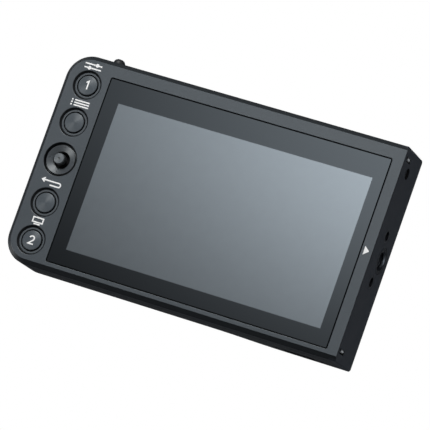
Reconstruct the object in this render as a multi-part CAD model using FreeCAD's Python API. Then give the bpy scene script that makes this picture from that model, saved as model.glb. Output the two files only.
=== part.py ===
import FreeCAD, Part
import math
import os

# Camera field monitor. Millimetres, X to the right, Y to the back, Z up.
# The origin is the mouth of the accessory thread, at mid-height of the flat right-hand end.
# Depths are counted backwards from the front face.

# Screen and the cover glass over it
active_width = 88.4
active_height = 49.7
mask_left = 5.0
mask_right = 3.8
mask_top = 7.2
mask_bottom = 5.1
glass_thickness = 1.1
glass_corner = 0.25
glass_gap = 0.38
seal_thickness = 0.3
seal_margin = 0.3
window_margin = 1.0
panel_border_side = 2.3
panel_border_end = 2.7
panel_thickness = 1.2
backlight_thickness = 2.1
chassis_thickness = 0.8
chassis_margin = 0.5

# Shells round the screen
control_strip = 15.62
side_strip = 3.62
top_strip = 5.27
bottom_strip = 2.77
body_depth = 16.4
mount_end_rise = 3.1
ramp_near = 22.4
ramp_length = 25.0
corner_radius = 8.4
front_chamfer = 1.5
lip_round = 0.15
rear_round = 1.2
wall = 1.8
face_wall = 2.2
seam_depth = 5.3
gasket_thickness = 0.4
gasket_inset = 0.6
gasket_width = 0.9
label_width = 34.0
label_height = 14.0
label_recess = 0.3
label_corner = 1.2
label_from_control_end = 30.0

# Flat mounting end
plate_thickness = 2.4
plate_lip = 0.9
plate_edge = 0.4
end_wall = 1.6
thread_depth = 12.2
thread_radius = 3.175
thread_length = 7.0
insert_flange_radius = 4.375
insert_flange_thickness = 1.0
insert_radius = 4.0
insert_floor = 1.0
insert_boss_wall = 1.4
bush_spacing = 15.3
bush_depth = 9.3
bush_bore_radius = 1.5
bush_bore_length = 3.6
bush_radius = 2.2
bush_floor = 0.8
bush_boss_wall = 1.0
catch_from_edge = 3.7
catch_slot_front = 1.8
catch_slot_length = 5.0
catch_slot_width = 1.6
catch_slot_floor = 0.5
catch_pin_radius = 0.5
catch_pin_sink = 0.25
catch_pin_offset = 0.4
catch_pin_seat = 0.7
side_screw_from_top = 7.4
side_screw_depth = 7.8
side_screw_well_radius = 1.85
side_screw_boss_radius = 1.9
side_screw_floor = 1.15
hook_from_bottom = 7.4
hook_depth = 10.0
hook_length = 5.0
hook_thickness = 1.6
hook_catch = 1.1

# Controls in the strip left of the screen
control_offset = 0.74
function_from_top = 9.9
display_from_bottom = 7.9
cancel_offset = 0.9
well_radius = 4.9
well_floor_radius = 4.2
well_depth = 0.85
cap_radius = 3.25
cap_gap = 0.42
cap_sink = 0.4
cap_dome = 0.14
cap_edge = 0.25
cap_flange_step = 0.75
cap_flange_thickness = 0.7
cap_stem_radius = 1.5
cap_stem_length = 1.4
press_travel = 0.5
press_room = 0.2
switch_size = 5.0
switch_height = 1.0
plunger_radius = 0.9
plunger_tail = 0.4

# Joystick
stick_well_radius = 5.65
ring_radius = 4.8
ring_gap = 0.6
ring_rim_depth = 0.44
ring_hole_radius = 2.9
ring_hole_depth = 1.25
ring_flange_step = 1.05
ring_flange_thickness = 0.6
tick_width = 0.3
tick_length = 0.8
tick_sink = 0.12
housing_wall = 0.6
housing_room = 0.6
gimbal_thickness = 1.2
yoke_radius = 3.5
yoke_wall = 0.8
gimbal_room = 0.3
trunnion_radius = 0.35
trunnion_reach = 0.5
stem_radius = 0.8
stem_foot_radius = 1.1
stem_foot_thickness = 0.25
stick_proud = 1.3
stick_cap_radius = 1.85
stick_cap_length = 2.4
stick_cap_floor = 1.0
stick_cap_chamfer = 0.25
stick_dimple_radius = 0.5
stick_dimple_sink = 0.15
contact_radius = 1.4
contact_thickness = 0.15

# Push button on the top edge
mirror_from_edge = 13.25
mirror_switch_thickness = 2.4
mirror_radius = 1.95
mirror_gap = 0.2
mirror_proud = 2.5
mirror_dome = 1.5
mirror_flange_step = 0.6
mirror_flange_thickness = 0.7
mirror_stem_radius = 1.0
mirror_stem_length = 1.6
mirror_plunger_radius = 0.7
mirror_press_room = 0.1
mirror_plunger_tail = 0.8
mirror_switch_width = 4.4
mirror_switch_height = 3.5
mirror_switch_floor = 1.5

# Boards, flexes and screws
key_board_thickness = 1.0
key_board_room = 0.6
key_board_to_panel = 2.8
key_board_top_room = 1.8
key_board_end = 4.2
key_post_radius = 1.6
key_post_offset = 5.0
standoff_radius = 1.6
standoff_floor = 0.3
board_thickness = 1.2
board_left_room = 6.0
board_right_room = 12.5
board_bottom_room = 5.0
board_top_room = 9.6
board_hole_inset = 2.6
board_hole_right_inset = 15.5
chip_height = 1.4
pad_thickness = 2.0
chip_size = 12.0
memory_width = 9.0
memory_height = 7.0
memory_thickness = 1.0
coil_size = 5.0
coil_thickness = 2.0
ribbon_thickness = 0.2
display_ribbon_width = 20.0
display_ribbon_drop = 1.3
display_ribbon_rise = 11.0
key_ribbon_width = 8.0
connector_depth = 3.5
connector_height = 1.0
connector_margin = 0.5
chassis_notch_room = 0.4
shell_post_radius = 2.4
bezel_post_radius = 1.5
post_from_wall = 0.4
post_left_inset = 2.5
post_right_from_side = 30.0
shell_screw_radius = 0.8
shell_screw_head_radius = 1.4
shell_screw_head_thickness = 0.9
shell_screw_well_radius = 1.7
shell_screw_sink = 1.6
shell_screw_grip = 3.0
small_screw_radius = 0.7
small_screw_head_radius = 1.25
small_screw_head_thickness = 0.7
small_screw_grip = 2.5
pilot_floor = 0.5

# Cable socket in the underside
socket_from_side = 16.15
socket_width = 13.0
socket_height = 9.0
socket_mouth_width = 10.8
socket_mouth_gap = 3.8
socket_mouth_depth = 6.5
socket_front_wall = 1.5
socket_back_wall = 1.0
socket_frame = 0.2
tongue_width = 8.8
tongue_thickness = 0.8
tongue_sink = 0.6
contact_count = 10
contact_pitch = 0.8
contact_width = 0.4
contact_leaf = 0.12
contact_length = 4.5
latch_spacing = 15.5
latch_width = 1.2
latch_gap = 2.6

# Clearances
fit_clearance = 0.02
turning_clearance = 0.05
plunger_clearance = 0.08
boss_clearance = 0.3
hook_clearance = 0.2
hole_clearance = 0.1

# Places worked out from the sizes
glass_width = active_width + mask_left + mask_right
glass_height = active_height + mask_top + mask_bottom
body_width = control_strip + glass_width + 2 * glass_gap + side_strip
body_height = top_strip + glass_height + 2 * glass_gap + bottom_strip
half_height = body_height / 2
body_left = -body_width
mount_end_depth = body_depth + mount_end_rise
glass_right = -(side_strip + glass_gap)
glass_left = glass_right - glass_width
glass_top = half_height - top_strip - glass_gap
glass_bottom = glass_top - glass_height
active_right = glass_right - mask_right
active_left = active_right - active_width
active_top = glass_top - mask_top
active_bottom = active_top - active_height
panel_left = active_left - panel_border_side
panel_right = active_right + panel_border_side
panel_top = active_top + panel_border_end
panel_bottom = active_bottom - panel_border_end

ledge_front = glass_thickness + seal_thickness
panel_back = face_wall + panel_thickness
backlight_back = panel_back + backlight_thickness
chassis_back = backlight_back + chassis_thickness
inner_back = body_depth - wall
chip_back = inner_back - pad_thickness
board_back = chip_back - chip_height
board_front = board_back - board_thickness
cover_front = seam_depth + gasket_thickness
shell_right = -plate_thickness
cavity_right = shell_right - end_wall
cavity_half_height = half_height - wall

control_x = body_left + control_strip / 2 + control_offset
upper_pitch = (half_height - function_from_top) / 2
lower_reach = half_height - display_from_bottom
lower_first = lower_reach / 2 + cancel_offset
button_heights = {
    "function": 2 * upper_pitch,
    "menu": upper_pitch,
    "cancel": -lower_first,
    "display": -lower_reach,
}
cap_hole_radius = cap_radius + cap_gap
cap_flange_radius = cap_hole_radius + cap_flange_step
cap_flange_back = face_wall + cap_flange_thickness
cap_stem_back = cap_flange_back + cap_stem_length
switch_front = cap_stem_back + press_travel + press_room
key_board_front = switch_front + switch_height
key_board_back = key_board_front + key_board_thickness
key_board_left = body_left + wall + key_board_room
key_board_right = panel_left - key_board_to_panel
key_board_top = cavity_half_height - key_board_top_room
key_board_bottom = button_heights["display"] - key_board_end
key_post_x = control_x + key_post_offset
key_post_heights = [1.5 * upper_pitch, -(lower_first + lower_reach) / 2]

housing_front = face_wall + ring_flange_thickness
pivot_depth = (housing_front + key_board_front) / 2
housing_half_room = yoke_radius + housing_room
housing_half = housing_half_room + housing_wall
gimbal_front = pivot_depth - gimbal_thickness / 2
gimbal_back = pivot_depth + gimbal_thickness / 2
yoke_hole_radius = yoke_radius - yoke_wall
rocker_radius = yoke_hole_radius - gimbal_room

mirror_x = body_left + mirror_from_edge
mirror_depth = key_board_back + mirror_switch_thickness / 2
mirror_hole_radius = mirror_radius + mirror_gap
mirror_flange_bottom = cavity_half_height - mirror_flange_thickness
mirror_stem_bottom = mirror_flange_bottom - mirror_stem_length
mirror_switch_top = mirror_stem_bottom - press_travel - mirror_press_room

board_left = panel_left + board_left_room
board_right = -board_right_room
board_bottom = -cavity_half_height + board_bottom_room
board_top = cavity_half_height - board_top_room
board_hole_xs = [board_left + board_hole_inset, board_right - board_hole_right_inset]
board_hole_zs = [board_bottom + board_hole_inset, board_top - board_hole_inset]
board_holes = [(x, z) for x in board_hole_xs for z in board_hole_zs]
post_xs = [panel_left + post_left_inset, -post_right_from_side]
post_z = cavity_half_height - post_from_wall - bezel_post_radius
posts = [(x, z) for x in post_xs for z in (-post_z, post_z)]
board_screw_tip = backlight_back + standoff_floor
ribbon_front = board_back + connector_height
ribbon_back = ribbon_front + ribbon_thickness
display_ribbon_x = (active_left + active_right) / 2
display_ribbon_bottom = panel_bottom - display_ribbon_drop
display_ribbon_top = display_ribbon_bottom + display_ribbon_rise
key_ribbon_left = key_board_right - connector_depth - connector_margin
key_ribbon_right = board_left + connector_depth + connector_margin
key_ribbon_step = (key_board_right + board_left) / 2
key_ribbon_front = key_board_back + connector_height
key_ribbon_back = key_ribbon_front + ribbon_thickness

insert_length = thread_length + insert_floor
insert_boss_radius = insert_radius + insert_boss_wall
bush_length = bush_bore_length + bush_floor
bush_boss_radius = bush_radius + bush_boss_wall
bush_heights = (-bush_spacing / 2, bush_spacing / 2)
catch_height = half_height - catch_from_edge
side_screw_height = half_height - side_screw_from_top
hook_drop = half_height - hook_from_bottom
catch_pocket = plate_thickness - catch_slot_floor
side_screw_seat = shell_right + side_screw_floor
catch_pin_x = -catch_pin_sink - catch_pin_radius
catch_pin_heights = (catch_pin_offset - catch_height, catch_pin_offset + catch_height)
catch_slot_back = catch_slot_front + catch_slot_length

socket_x = -socket_from_side
socket_bottom = -cavity_half_height
socket_mouth_front = board_back + socket_front_wall
socket_mouth_back = socket_mouth_front + socket_mouth_gap
socket_back = socket_mouth_back + socket_back_wall
socket_mouth_middle = (socket_mouth_front + socket_mouth_back) / 2
socket_mouth_top = socket_bottom + socket_mouth_depth


# Basic solids, placed by side, depth and height

def spot(x, depth, z):
    return FreeCAD.Vector(x, depth - thread_depth, z)


def block(x_range, depth_range, z_range):
    size_x = x_range[1] - x_range[0]
    size_y = depth_range[1] - depth_range[0]
    size_z = z_range[1] - z_range[0]
    return Part.makeBox(size_x, size_y, size_z, spot(x_range[0], depth_range[0], z_range[0]))


def about(middle, size):
    return middle - size / 2, middle + size / 2


def rod_back(x, z, radius, front, back):
    return Part.makeCylinder(radius, back - front, spot(x, front, z), FreeCAD.Vector(0, 1, 0))


def rod_across(depth, z, radius, x_low, x_high):
    return Part.makeCylinder(radius, x_high - x_low, spot(x_low, depth, z), FreeCAD.Vector(1, 0, 0))


def rod_up(x, depth, radius, bottom, top):
    return Part.makeCylinder(radius, top - bottom, spot(x, depth, bottom), FreeCAD.Vector(0, 0, 1))


def turned(x, z, profile):
    points = [spot(x + radius, depth, z) for radius, depth in profile]
    face = Part.Face(Part.makePolygon(points + points[:1]))
    return face.revolve(spot(x, 0, z), FreeCAD.Vector(0, 1, 0), 360)


def joined(first, *others):
    return first.fuse(list(others)).removeSplitter()


def rounded_slab(x_range, depth_range, z_range, radius):
    slab = block(x_range, depth_range, z_range)
    corners = [edge for edge in slab.Edges if edge.BoundBox.YLength > edge.BoundBox.DiagonalLength / 2]
    return slab.makeFillet(radius, corners)


# Outline of the body seen from the front: round corners at the control end, square at the other
def outline_prism(inset, right, front, back):
    left = body_left + inset
    top = half_height - inset
    bottom = -top
    radius = corner_radius - inset
    slant = radius * (1 - math.sqrt(0.5))
    top_run = Part.makeLine(spot(right, front, top), spot(left + radius, front, top))
    top_arc = Part.Arc(
        spot(left + radius, front, top),
        spot(left + slant, front, top - slant),
        spot(left, front, top - radius),
    ).toShape()
    left_run = Part.makeLine(spot(left, front, top - radius), spot(left, front, bottom + radius))
    bottom_arc = Part.Arc(
        spot(left, front, bottom + radius),
        spot(left + slant, front, bottom + slant),
        spot(left + radius, front, bottom),
    ).toShape()
    bottom_run = Part.makeLine(spot(left + radius, front, bottom), spot(right, front, bottom))
    right_run = Part.makeLine(spot(right, front, bottom), spot(right, front, top))
    wire = Part.Wire([top_run, top_arc, left_run, bottom_arc, bottom_run, right_run])
    return Part.Face(wire).extrude(FreeCAD.Vector(0, back - front, 0))


# What lies in front of the back surface, which swells in a smooth step to the mounting end
def behind_limit(inset):
    margin = corner_radius
    far_x = -ramp_near - ramp_length
    half_run = ramp_length / 2
    half_rise = mount_end_rise / 2
    bend = (half_run ** 2 + half_rise ** 2) / (2 * half_rise)
    turn = math.asin(half_run / bend)
    outer = bend + inset
    inner = bend - inset
    low = body_left - margin
    high = margin
    bottom = -half_height - margin

    def hollow_point(angle):
        return spot(far_x + outer * math.sin(angle), body_depth + bend - outer * math.cos(angle), bottom)

    def crown_point(angle):
        depth = mount_end_depth - bend + inner * math.cos(angle)
        return spot(-ramp_near - inner * math.sin(angle), depth, bottom)

    flat_back = spot(low, body_depth - inset, bottom)
    end_back = spot(high, mount_end_depth - inset, bottom)
    end_front = spot(high, -margin, bottom)
    flat_front = spot(low, -margin, bottom)
    wire = Part.Wire([
        Part.makeLine(flat_back, hollow_point(0)),
        Part.Arc(hollow_point(0), hollow_point(turn / 2), hollow_point(turn)).toShape(),
        Part.Arc(crown_point(turn), crown_point(turn / 2), crown_point(0)).toShape(),
        Part.makeLine(crown_point(0), end_back),
        Part.makeLine(end_back, end_front),
        Part.makeLine(end_front, flat_front),
        Part.makeLine(flat_front, flat_back),
    ])
    return Part.Face(wire).extrude(FreeCAD.Vector(0, 0, body_height + 2 * margin))


def body_envelope():
    body = outline_prism(0, 0, 0, mount_end_depth).common(behind_limit(0)).removeSplitter()
    near = 1e-4
    face_y = spot(0, 0, 0).y
    back_y = spot(0, body_depth, 0).y
    front_edges = []
    for edge in body.Edges:
        box = edge.BoundBox
        if box.YMax < face_y + near and box.XMin < -near:
            front_edges.append(edge)
    body = body.makeChamfer(min(front_chamfer, seam_depth / 2), front_edges)
    rear_edges = []
    for edge in body.Edges:
        box = edge.BoundBox
        lengthwise = box.ZLength < near
        at_control_end = box.XMax < body_left + corner_radius + near
        if box.YMin > back_y - near and (lengthwise or at_control_end):
            rear_edges.append(edge)
    return body.makeFillet(min(rear_round, corner_radius / 2), rear_edges)


def export(shape, node):
    solid = shape.removeSplitter()
    solid.exportStep("parts/" + node + ".step")
    boxes = [part.Volume for part in solid.Solids]
    print(node, len(boxes), "solid", round(sum(boxes), 2), "mm3", "valid" if solid.isValid() else "NOT VALID")


def export_group(solids, node):
    export(Part.makeCompound(solids), node)


# Edges of the wells and of the glass opening where they meet the front face
def on_face_lip(edge):
    near = 1e-4
    box = edge.BoundBox
    in_face = abs(box.YMin - spot(0, 0, 0).y) < near and box.YLength < near
    clear_of_rim = box.XMin > body_left + corner_radius / 4 and box.XMax < -near
    clear_of_ends = max(abs(box.ZMin), abs(box.ZMax)) < half_height - front_chamfer - near
    return in_face and clear_of_rim and clear_of_ends


# Room that the shells leave for the side plate's bosses, open to the seam in front of them
def boss_room():
    beyond = corner_radius
    end_hole = (cavity_right - beyond, beyond)
    bosses = [(thread_depth, 0, insert_boss_radius)]
    for z in bush_heights:
        bosses.append((bush_depth, z, bush_boss_radius))
    room = []
    for depth, z, radius in bosses:
        wide = radius + boss_clearance
        room.append(rod_across(depth, z, wide, *end_hole))
        front = min(seam_depth + gasket_thickness / 2, depth - wide)
        room.append(block(end_hole, (front, depth), about(z, 2 * wide)))
    return room


# Front shell: face with the glass window and the control wells, rim, screw posts
def make_front_bezel(envelope):
    beyond = corner_radius
    front_half = block((body_left - beyond, beyond), (-beyond, seam_depth), (-body_height, body_height))
    shell = envelope.common(front_half)
    behind_lip = block((shell_right, beyond), (plate_lip, seam_depth + beyond), (-body_height, body_height))
    shell = shell.cut(behind_lip)
    shell = shell.cut(outline_prism(wall, cavity_right, face_wall, seam_depth + beyond))
    glass_opening = rounded_slab(
        (glass_left - glass_gap, glass_right + glass_gap),
        (-beyond, ledge_front),
        (glass_bottom - glass_gap, glass_top + glass_gap),
        glass_corner + glass_gap,
    )
    window = block(
        (active_left - window_margin, active_right + window_margin),
        (0, face_wall + beyond),
        (active_bottom - window_margin, active_top + window_margin),
    )
    shell = shell.cut([glass_opening, window])
    posts_added = [rod_back(x, z, bezel_post_radius, ledge_front, backlight_back) for x, z in posts]
    for z in key_post_heights:
        posts_added.append(rod_back(key_post_x, z, key_post_radius, ledge_front, key_board_front))
    shell = joined(shell, *posts_added)
    cuts = []
    for x, z in posts:
        screw_tip = chassis_back - shell_screw_grip
        cuts.append(rod_back(x, z, shell_screw_radius + fit_clearance, screw_tip, backlight_back + beyond))
    for z in key_post_heights:
        screw_tip = key_board_front - small_screw_grip
        pilot = small_screw_radius + fit_clearance
        cuts.append(rod_back(key_post_x, z, pilot, screw_tip, key_board_front + beyond))
    for z in button_heights.values():
        cuts.append(Part.makeCone(
            well_radius, well_floor_radius, well_depth, spot(control_x, 0, z), FreeCAD.Vector(0, 1, 0)))
        cuts.append(rod_back(control_x, z, cap_hole_radius, 0, face_wall + pilot_floor))
    stick_opening = ring_radius + ring_gap
    cuts.append(Part.makeCone(
        stick_well_radius, stick_opening, ring_rim_depth, spot(control_x, 0, 0), FreeCAD.Vector(0, 1, 0)))
    cuts.append(rod_back(control_x, 0, stick_opening, 0, face_wall + pilot_floor))
    shell = shell.cut(cuts + boss_room())
    return shell.makeFillet(lip_round, [edge for edge in shell.Edges if on_face_lip(edge)])


# Back shell: rim, swelling back, screw posts, end wall, holes for the top button and the socket
def make_rear_cover(envelope):
    beyond = corner_radius
    back_half = block(
        (body_left - beyond, shell_right),
        (cover_front, mount_end_depth + beyond),
        (-body_height, body_height),
    )
    cavity = outline_prism(wall, cavity_right, cover_front - beyond, mount_end_depth + beyond)
    cavity = cavity.common(behind_limit(wall))
    shell = envelope.common(back_half).cut(cavity)
    inside = envelope.common(back_half)
    screw_post = rod_across(
        side_screw_depth, side_screw_height, side_screw_boss_radius,
        cavity_right - small_screw_grip - pilot_floor, cavity_right + end_wall / 2)
    solid_posts = []
    for x, z in posts:
        post = rod_back(x, z, shell_post_radius, chassis_back, mount_end_depth)
        solid_posts.append(post.common(inside))
    shell = joined(shell, screw_post, *solid_posts)
    cuts = []
    for x, z in posts:
        seat = body_depth - shell_screw_sink
        cuts.append(rod_back(x, z, shell_screw_radius + fit_clearance, chassis_back - beyond, seat))
        cuts.append(rod_back(x, z, shell_screw_well_radius, seat, mount_end_depth + beyond))
    screw_tip = cavity_right - small_screw_grip
    cuts.append(rod_across(
        side_screw_depth, side_screw_height, small_screw_radius + fit_clearance, screw_tip, beyond))
    cuts.extend(boss_room())
    cuts.append(block(
        (cavity_right - pilot_floor, beyond),
        about(hook_depth, hook_length + 2 * hook_clearance),
        about(-hook_drop, hook_thickness + 2 * hook_clearance),
    ))
    top_hole = (cavity_half_height - pilot_floor, half_height + beyond)
    cuts.append(rod_up(mirror_x, mirror_depth, mirror_hole_radius, *top_hole))
    below = (-half_height - beyond, socket_bottom + pilot_floor)
    cuts.append(block(
        about(socket_x, socket_mouth_width + 2 * socket_frame),
        about(socket_mouth_middle, socket_mouth_gap + 2 * socket_frame),
        below,
    ))
    for latch_x in about(socket_x, latch_spacing):
        cuts.append(block(about(latch_x, latch_width), about(socket_mouth_middle, latch_gap), below))
    label_left = body_left + label_from_control_end
    cuts.append(rounded_slab(
        (label_left, label_left + label_width),
        (body_depth - label_recess, body_depth + beyond),
        about(0, label_height),
        label_corner,
    ))
    return shell.cut(cuts)


# Plate over the mounting end, with bosses for the thread insert and the bushes
def make_side_plate(envelope):
    beyond = corner_radius
    plate = envelope.common(block(
        (shell_right, beyond), (plate_lip, mount_end_depth + beyond), (-body_height, body_height)))
    near = 1e-4
    front_y = spot(0, plate_lip, 0).y
    outer_edges = [
        edge for edge in plate.Edges if edge.BoundBox.XMin > -near and edge.BoundBox.YMax > front_y + near]
    plate = plate.makeFillet(min(plate_edge, plate_thickness / 4), outer_edges)
    bosses = [rod_across(thread_depth, 0, insert_boss_radius, -insert_length, shell_right / 2)]
    for z in bush_heights:
        bosses.append(rod_across(bush_depth, z, bush_boss_radius, -bush_length, shell_right / 2))
    hook_end = cavity_right - hook_catch - hook_clearance
    hook_depths = about(hook_depth, hook_length)
    hook_low, hook_high = about(-hook_drop, hook_thickness)
    bosses.append(block((hook_end, shell_right / 2), hook_depths, (hook_low, hook_high)))
    bosses.append(block(
        (hook_end, cavity_right - hook_clearance), hook_depths, (hook_low, hook_high + hook_catch)))
    plate = joined(plate, *bosses).common(behind_limit(0))
    cuts = [
        rod_across(thread_depth, 0, insert_radius + fit_clearance, -insert_length - beyond, beyond),
        rod_across(thread_depth, 0, insert_flange_radius + fit_clearance, -insert_flange_thickness, beyond),
        rod_across(side_screw_depth, side_screw_height, side_screw_well_radius, side_screw_seat, beyond),
        rod_across(
            side_screw_depth, side_screw_height, small_screw_radius + hole_clearance,
            shell_right - beyond, beyond),
    ]
    for z in bush_heights:
        cuts.append(rod_across(bush_depth, z, bush_radius + fit_clearance, -bush_length - beyond, beyond))
    for z in (-catch_height, catch_height):
        cuts.append(block(
            (-catch_pocket, beyond), (catch_slot_front, catch_slot_back), about(z, catch_slot_width)))
    for z in catch_pin_heights:
        pin_end = catch_slot_back + catch_pin_seat
        cuts.append(rod_back(catch_pin_x, z, catch_pin_radius + fit_clearance, plate_lip - beyond, pin_end))
    return plate.cut(cuts)


def make_thread_insert():
    flange = rod_across(thread_depth, 0, insert_flange_radius, -insert_flange_thickness, 0)
    body = rod_across(thread_depth, 0, insert_radius, -insert_length, 0)
    hole = rod_across(thread_depth, 0, thread_radius, -thread_length, corner_radius)
    return joined(flange, body).cut(hole)


def make_bushes():
    bushes = []
    for z in bush_heights:
        bush = rod_across(bush_depth, z, bush_radius, -bush_length, 0)
        bushes.append(bush.cut(rod_across(bush_depth, z, bush_bore_radius, -bush_bore_length, corner_radius)))
    return bushes


def make_catch_pins():
    front = catch_slot_front - catch_pin_seat
    back = catch_slot_back + catch_pin_seat
    return [rod_back(catch_pin_x, z, catch_pin_radius, front, back) for z in catch_pin_heights]


def make_gasket():
    ring = outline_prism(gasket_inset, shell_right - gasket_inset, seam_depth, cover_front)
    inner = gasket_inset + gasket_width
    return ring.cut(outline_prism(inner, shell_right - inner, seam_depth, cover_front))


# Screen stack, from the glass back to its sheet-metal carrier
def make_glass():
    return rounded_slab(
        (glass_left, glass_right), (0, glass_thickness), (glass_bottom, glass_top), glass_corner)


def make_seal():
    frame = block(
        (glass_left + seal_margin, glass_right - seal_margin),
        (glass_thickness, ledge_front),
        (glass_bottom + seal_margin, glass_top - seal_margin),
    )
    window = block(
        (active_left - window_margin, active_right + window_margin),
        (glass_thickness, ledge_front),
        (active_bottom - window_margin, active_top + window_margin),
    )
    return frame.cut(window)


def make_screen_layer(front, back):
    return block((panel_left, panel_right), (front, back), (panel_bottom, panel_top))


def make_chassis():
    half = post_z + bezel_post_radius
    plate = block(
        (panel_left - chassis_margin, panel_right + chassis_margin),
        (backlight_back, chassis_back),
        (-half, half),
    )
    standoffs = [rod_back(x, z, standoff_radius, chassis_back, board_front) for x, z in board_holes]
    plate = joined(plate, *standoffs)
    cuts = [block(
        about(display_ribbon_x, display_ribbon_width + 2 * chassis_notch_room),
        (backlight_back, chassis_back),
        (-half_height, display_ribbon_bottom + ribbon_thickness + chassis_notch_room),
    )]
    for x, z in posts:
        cuts.append(rod_back(x, z, shell_screw_radius + hole_clearance, backlight_back, chassis_back))
    for x, z in board_holes:
        cuts.append(rod_back(x, z, small_screw_radius + fit_clearance, board_screw_tip, board_front))
    return plate.cut(cuts)


# Boards and what is soldered to them
def make_main_board():
    board = block((board_left, board_right), (board_front, board_back), (board_bottom, board_top))
    hole_radius = small_screw_radius + hole_clearance
    return board.cut([rod_back(x, z, hole_radius, board_front, board_back) for x, z in board_holes])


def chip(x, z, width, height, thickness):
    return block(about(x, width), (board_back, board_back + thickness), about(z, height))


def processor_place():
    return (board_left + board_right) / 2, (board_bottom + board_top) / 2


def make_chips():
    x, z = processor_place()
    chips = [chip(x, z, chip_size, chip_size, chip_height)]
    for side in (-1, 1):
        memory_x = x - chip_size / 2 - memory_width
        chips.append(chip(memory_x, z + side * memory_height, memory_width, memory_height, memory_thickness))
        coil_x = x + chip_size / 2 + coil_size * 1.5
        chips.append(chip(coil_x, z + side * coil_size, coil_size, coil_size, coil_thickness))
    return chips


def make_heat_pad():
    x, z = processor_place()
    return block(about(x, chip_size), (chip_back, inner_back), about(z, chip_size))


def make_connectors():
    on_board = (board_back, ribbon_front)
    on_key_board = (key_board_back, key_ribbon_front)
    key_heights = about(0, key_ribbon_width + 2 * connector_margin)
    return [
        block(
            about(display_ribbon_x, display_ribbon_width + 2 * connector_margin),
            on_board,
            (display_ribbon_top - connector_depth, display_ribbon_top),
        ),
        block((key_ribbon_right - connector_depth, key_ribbon_right), on_board, key_heights),
        block((key_ribbon_left, key_ribbon_left + connector_depth), on_key_board, key_heights),
    ]


def make_display_ribbon():
    x_range = about(display_ribbon_x, display_ribbon_width)
    tail_front = panel_back - ribbon_thickness
    low = display_ribbon_bottom
    return joined(
        block(x_range, (tail_front, panel_back), (low, panel_bottom)),
        block(x_range, (tail_front, ribbon_back), (low, low + ribbon_thickness)),
        block(x_range, (ribbon_front, ribbon_back), (low, display_ribbon_top)),
    )


def make_key_ribbon():
    z_range = about(0, key_ribbon_width)
    step_end = key_ribbon_step + ribbon_thickness
    return joined(
        block((key_ribbon_left, step_end), (key_ribbon_front, key_ribbon_back), z_range),
        block((key_ribbon_step, step_end), (key_ribbon_front, ribbon_back), z_range),
        block((key_ribbon_step, key_ribbon_right), (ribbon_front, ribbon_back), z_range),
    )


def make_key_board():
    board = outline_prism(wall + key_board_room, key_board_right, key_board_front, key_board_back)
    board = board.common(block(
        (key_board_left, key_board_right),
        (key_board_front, key_board_back),
        (key_board_bottom, key_board_top),
    ))
    holes = [
        rod_back(key_post_x, z, small_screw_radius + hole_clearance, key_board_front, key_board_back)
        for z in key_post_heights]
    return board.cut(holes)


# Push buttons: cap with a retaining flange and a stem, switch and plunger behind it
def make_button_cap(z):
    cap = rod_back(control_x, z, cap_radius, cap_sink, face_wall)
    dome_radius = (cap_radius ** 2 + cap_dome ** 2) / (2 * cap_dome)
    cap = cap.common(Part.makeSphere(dome_radius, spot(control_x, cap_sink + dome_radius, z)))
    rim_limit = spot(0, face_wall, 0).y - cap_edge
    rim = []
    for edge in cap.Edges:
        if edge.BoundBox.YMax < rim_limit and edge.BoundBox.XLength > cap_radius:
            rim.append(edge)
    cap = cap.makeFillet(cap_edge, rim)
    flange = rod_back(control_x, z, cap_flange_radius, face_wall, cap_flange_back)
    stem = rod_back(control_x, z, cap_stem_radius, cap_flange_back, cap_stem_back)
    return joined(cap, flange, stem)


def make_plunger(z):
    return rod_back(control_x, z, plunger_radius, cap_stem_back, switch_front + plunger_tail)


def make_switches():
    depths = (switch_front, key_board_front)
    switches = []
    for z in button_heights.values():
        body = block(about(control_x, switch_size), depths, about(z, switch_size))
        switches.append(body.cut(rod_back(control_x, z, plunger_radius + plunger_clearance, *depths)))
    return switches


# Top button: the same parts turned upwards
def make_mirror_button():
    top = half_height + mirror_proud
    cap = rod_up(mirror_x, mirror_depth, mirror_radius, cavity_half_height, top)
    rim = [edge for edge in cap.Edges if edge.BoundBox.ZMin > top - mirror_dome / 2]
    cap = cap.makeFillet(min(mirror_dome, mirror_radius * 0.9), rim)
    flange_radius = mirror_hole_radius + mirror_flange_step
    flange = rod_up(mirror_x, mirror_depth, flange_radius, mirror_flange_bottom, cavity_half_height)
    stem = rod_up(mirror_x, mirror_depth, mirror_stem_radius, mirror_stem_bottom, mirror_flange_bottom)
    return joined(cap, flange, stem)


def make_mirror_plunger():
    bottom = mirror_switch_top - mirror_plunger_tail
    return rod_up(mirror_x, mirror_depth, mirror_plunger_radius, bottom, mirror_stem_bottom)


def make_mirror_switch():
    bottom = mirror_switch_top - mirror_switch_height
    body = block(
        about(mirror_x, mirror_switch_width),
        about(mirror_depth, mirror_switch_thickness),
        (bottom, mirror_switch_top),
    )
    return body.cut(rod_up(
        mirror_x, mirror_depth, mirror_plunger_radius + plunger_clearance,
        bottom + mirror_switch_floor, mirror_switch_top))


# Joystick: dished ring, housing, two-axis gimbal, pressing stem and its cap
def make_stick_ring():
    flange_radius = ring_radius + ring_flange_step
    ring = turned(control_x, 0, [
        (ring_hole_radius, ring_hole_depth),
        (ring_radius, ring_rim_depth),
        (ring_radius, face_wall),
        (flange_radius, face_wall),
        (flange_radius, housing_front),
        (ring_hole_radius, housing_front),
    ])
    middle = (ring_radius + ring_hole_radius) / 2
    surface = (ring_rim_depth + ring_hole_depth) / 2
    ticks = []
    for side in (-1, 1):
        along = about(side * middle, tick_length)
        depths = (0, surface + tick_sink)
        ticks.append(block((control_x + along[0], control_x + along[1]), depths, about(0, tick_width)))
        ticks.append(block(about(control_x, tick_width), depths, along))
    return ring.cut(ticks)


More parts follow.
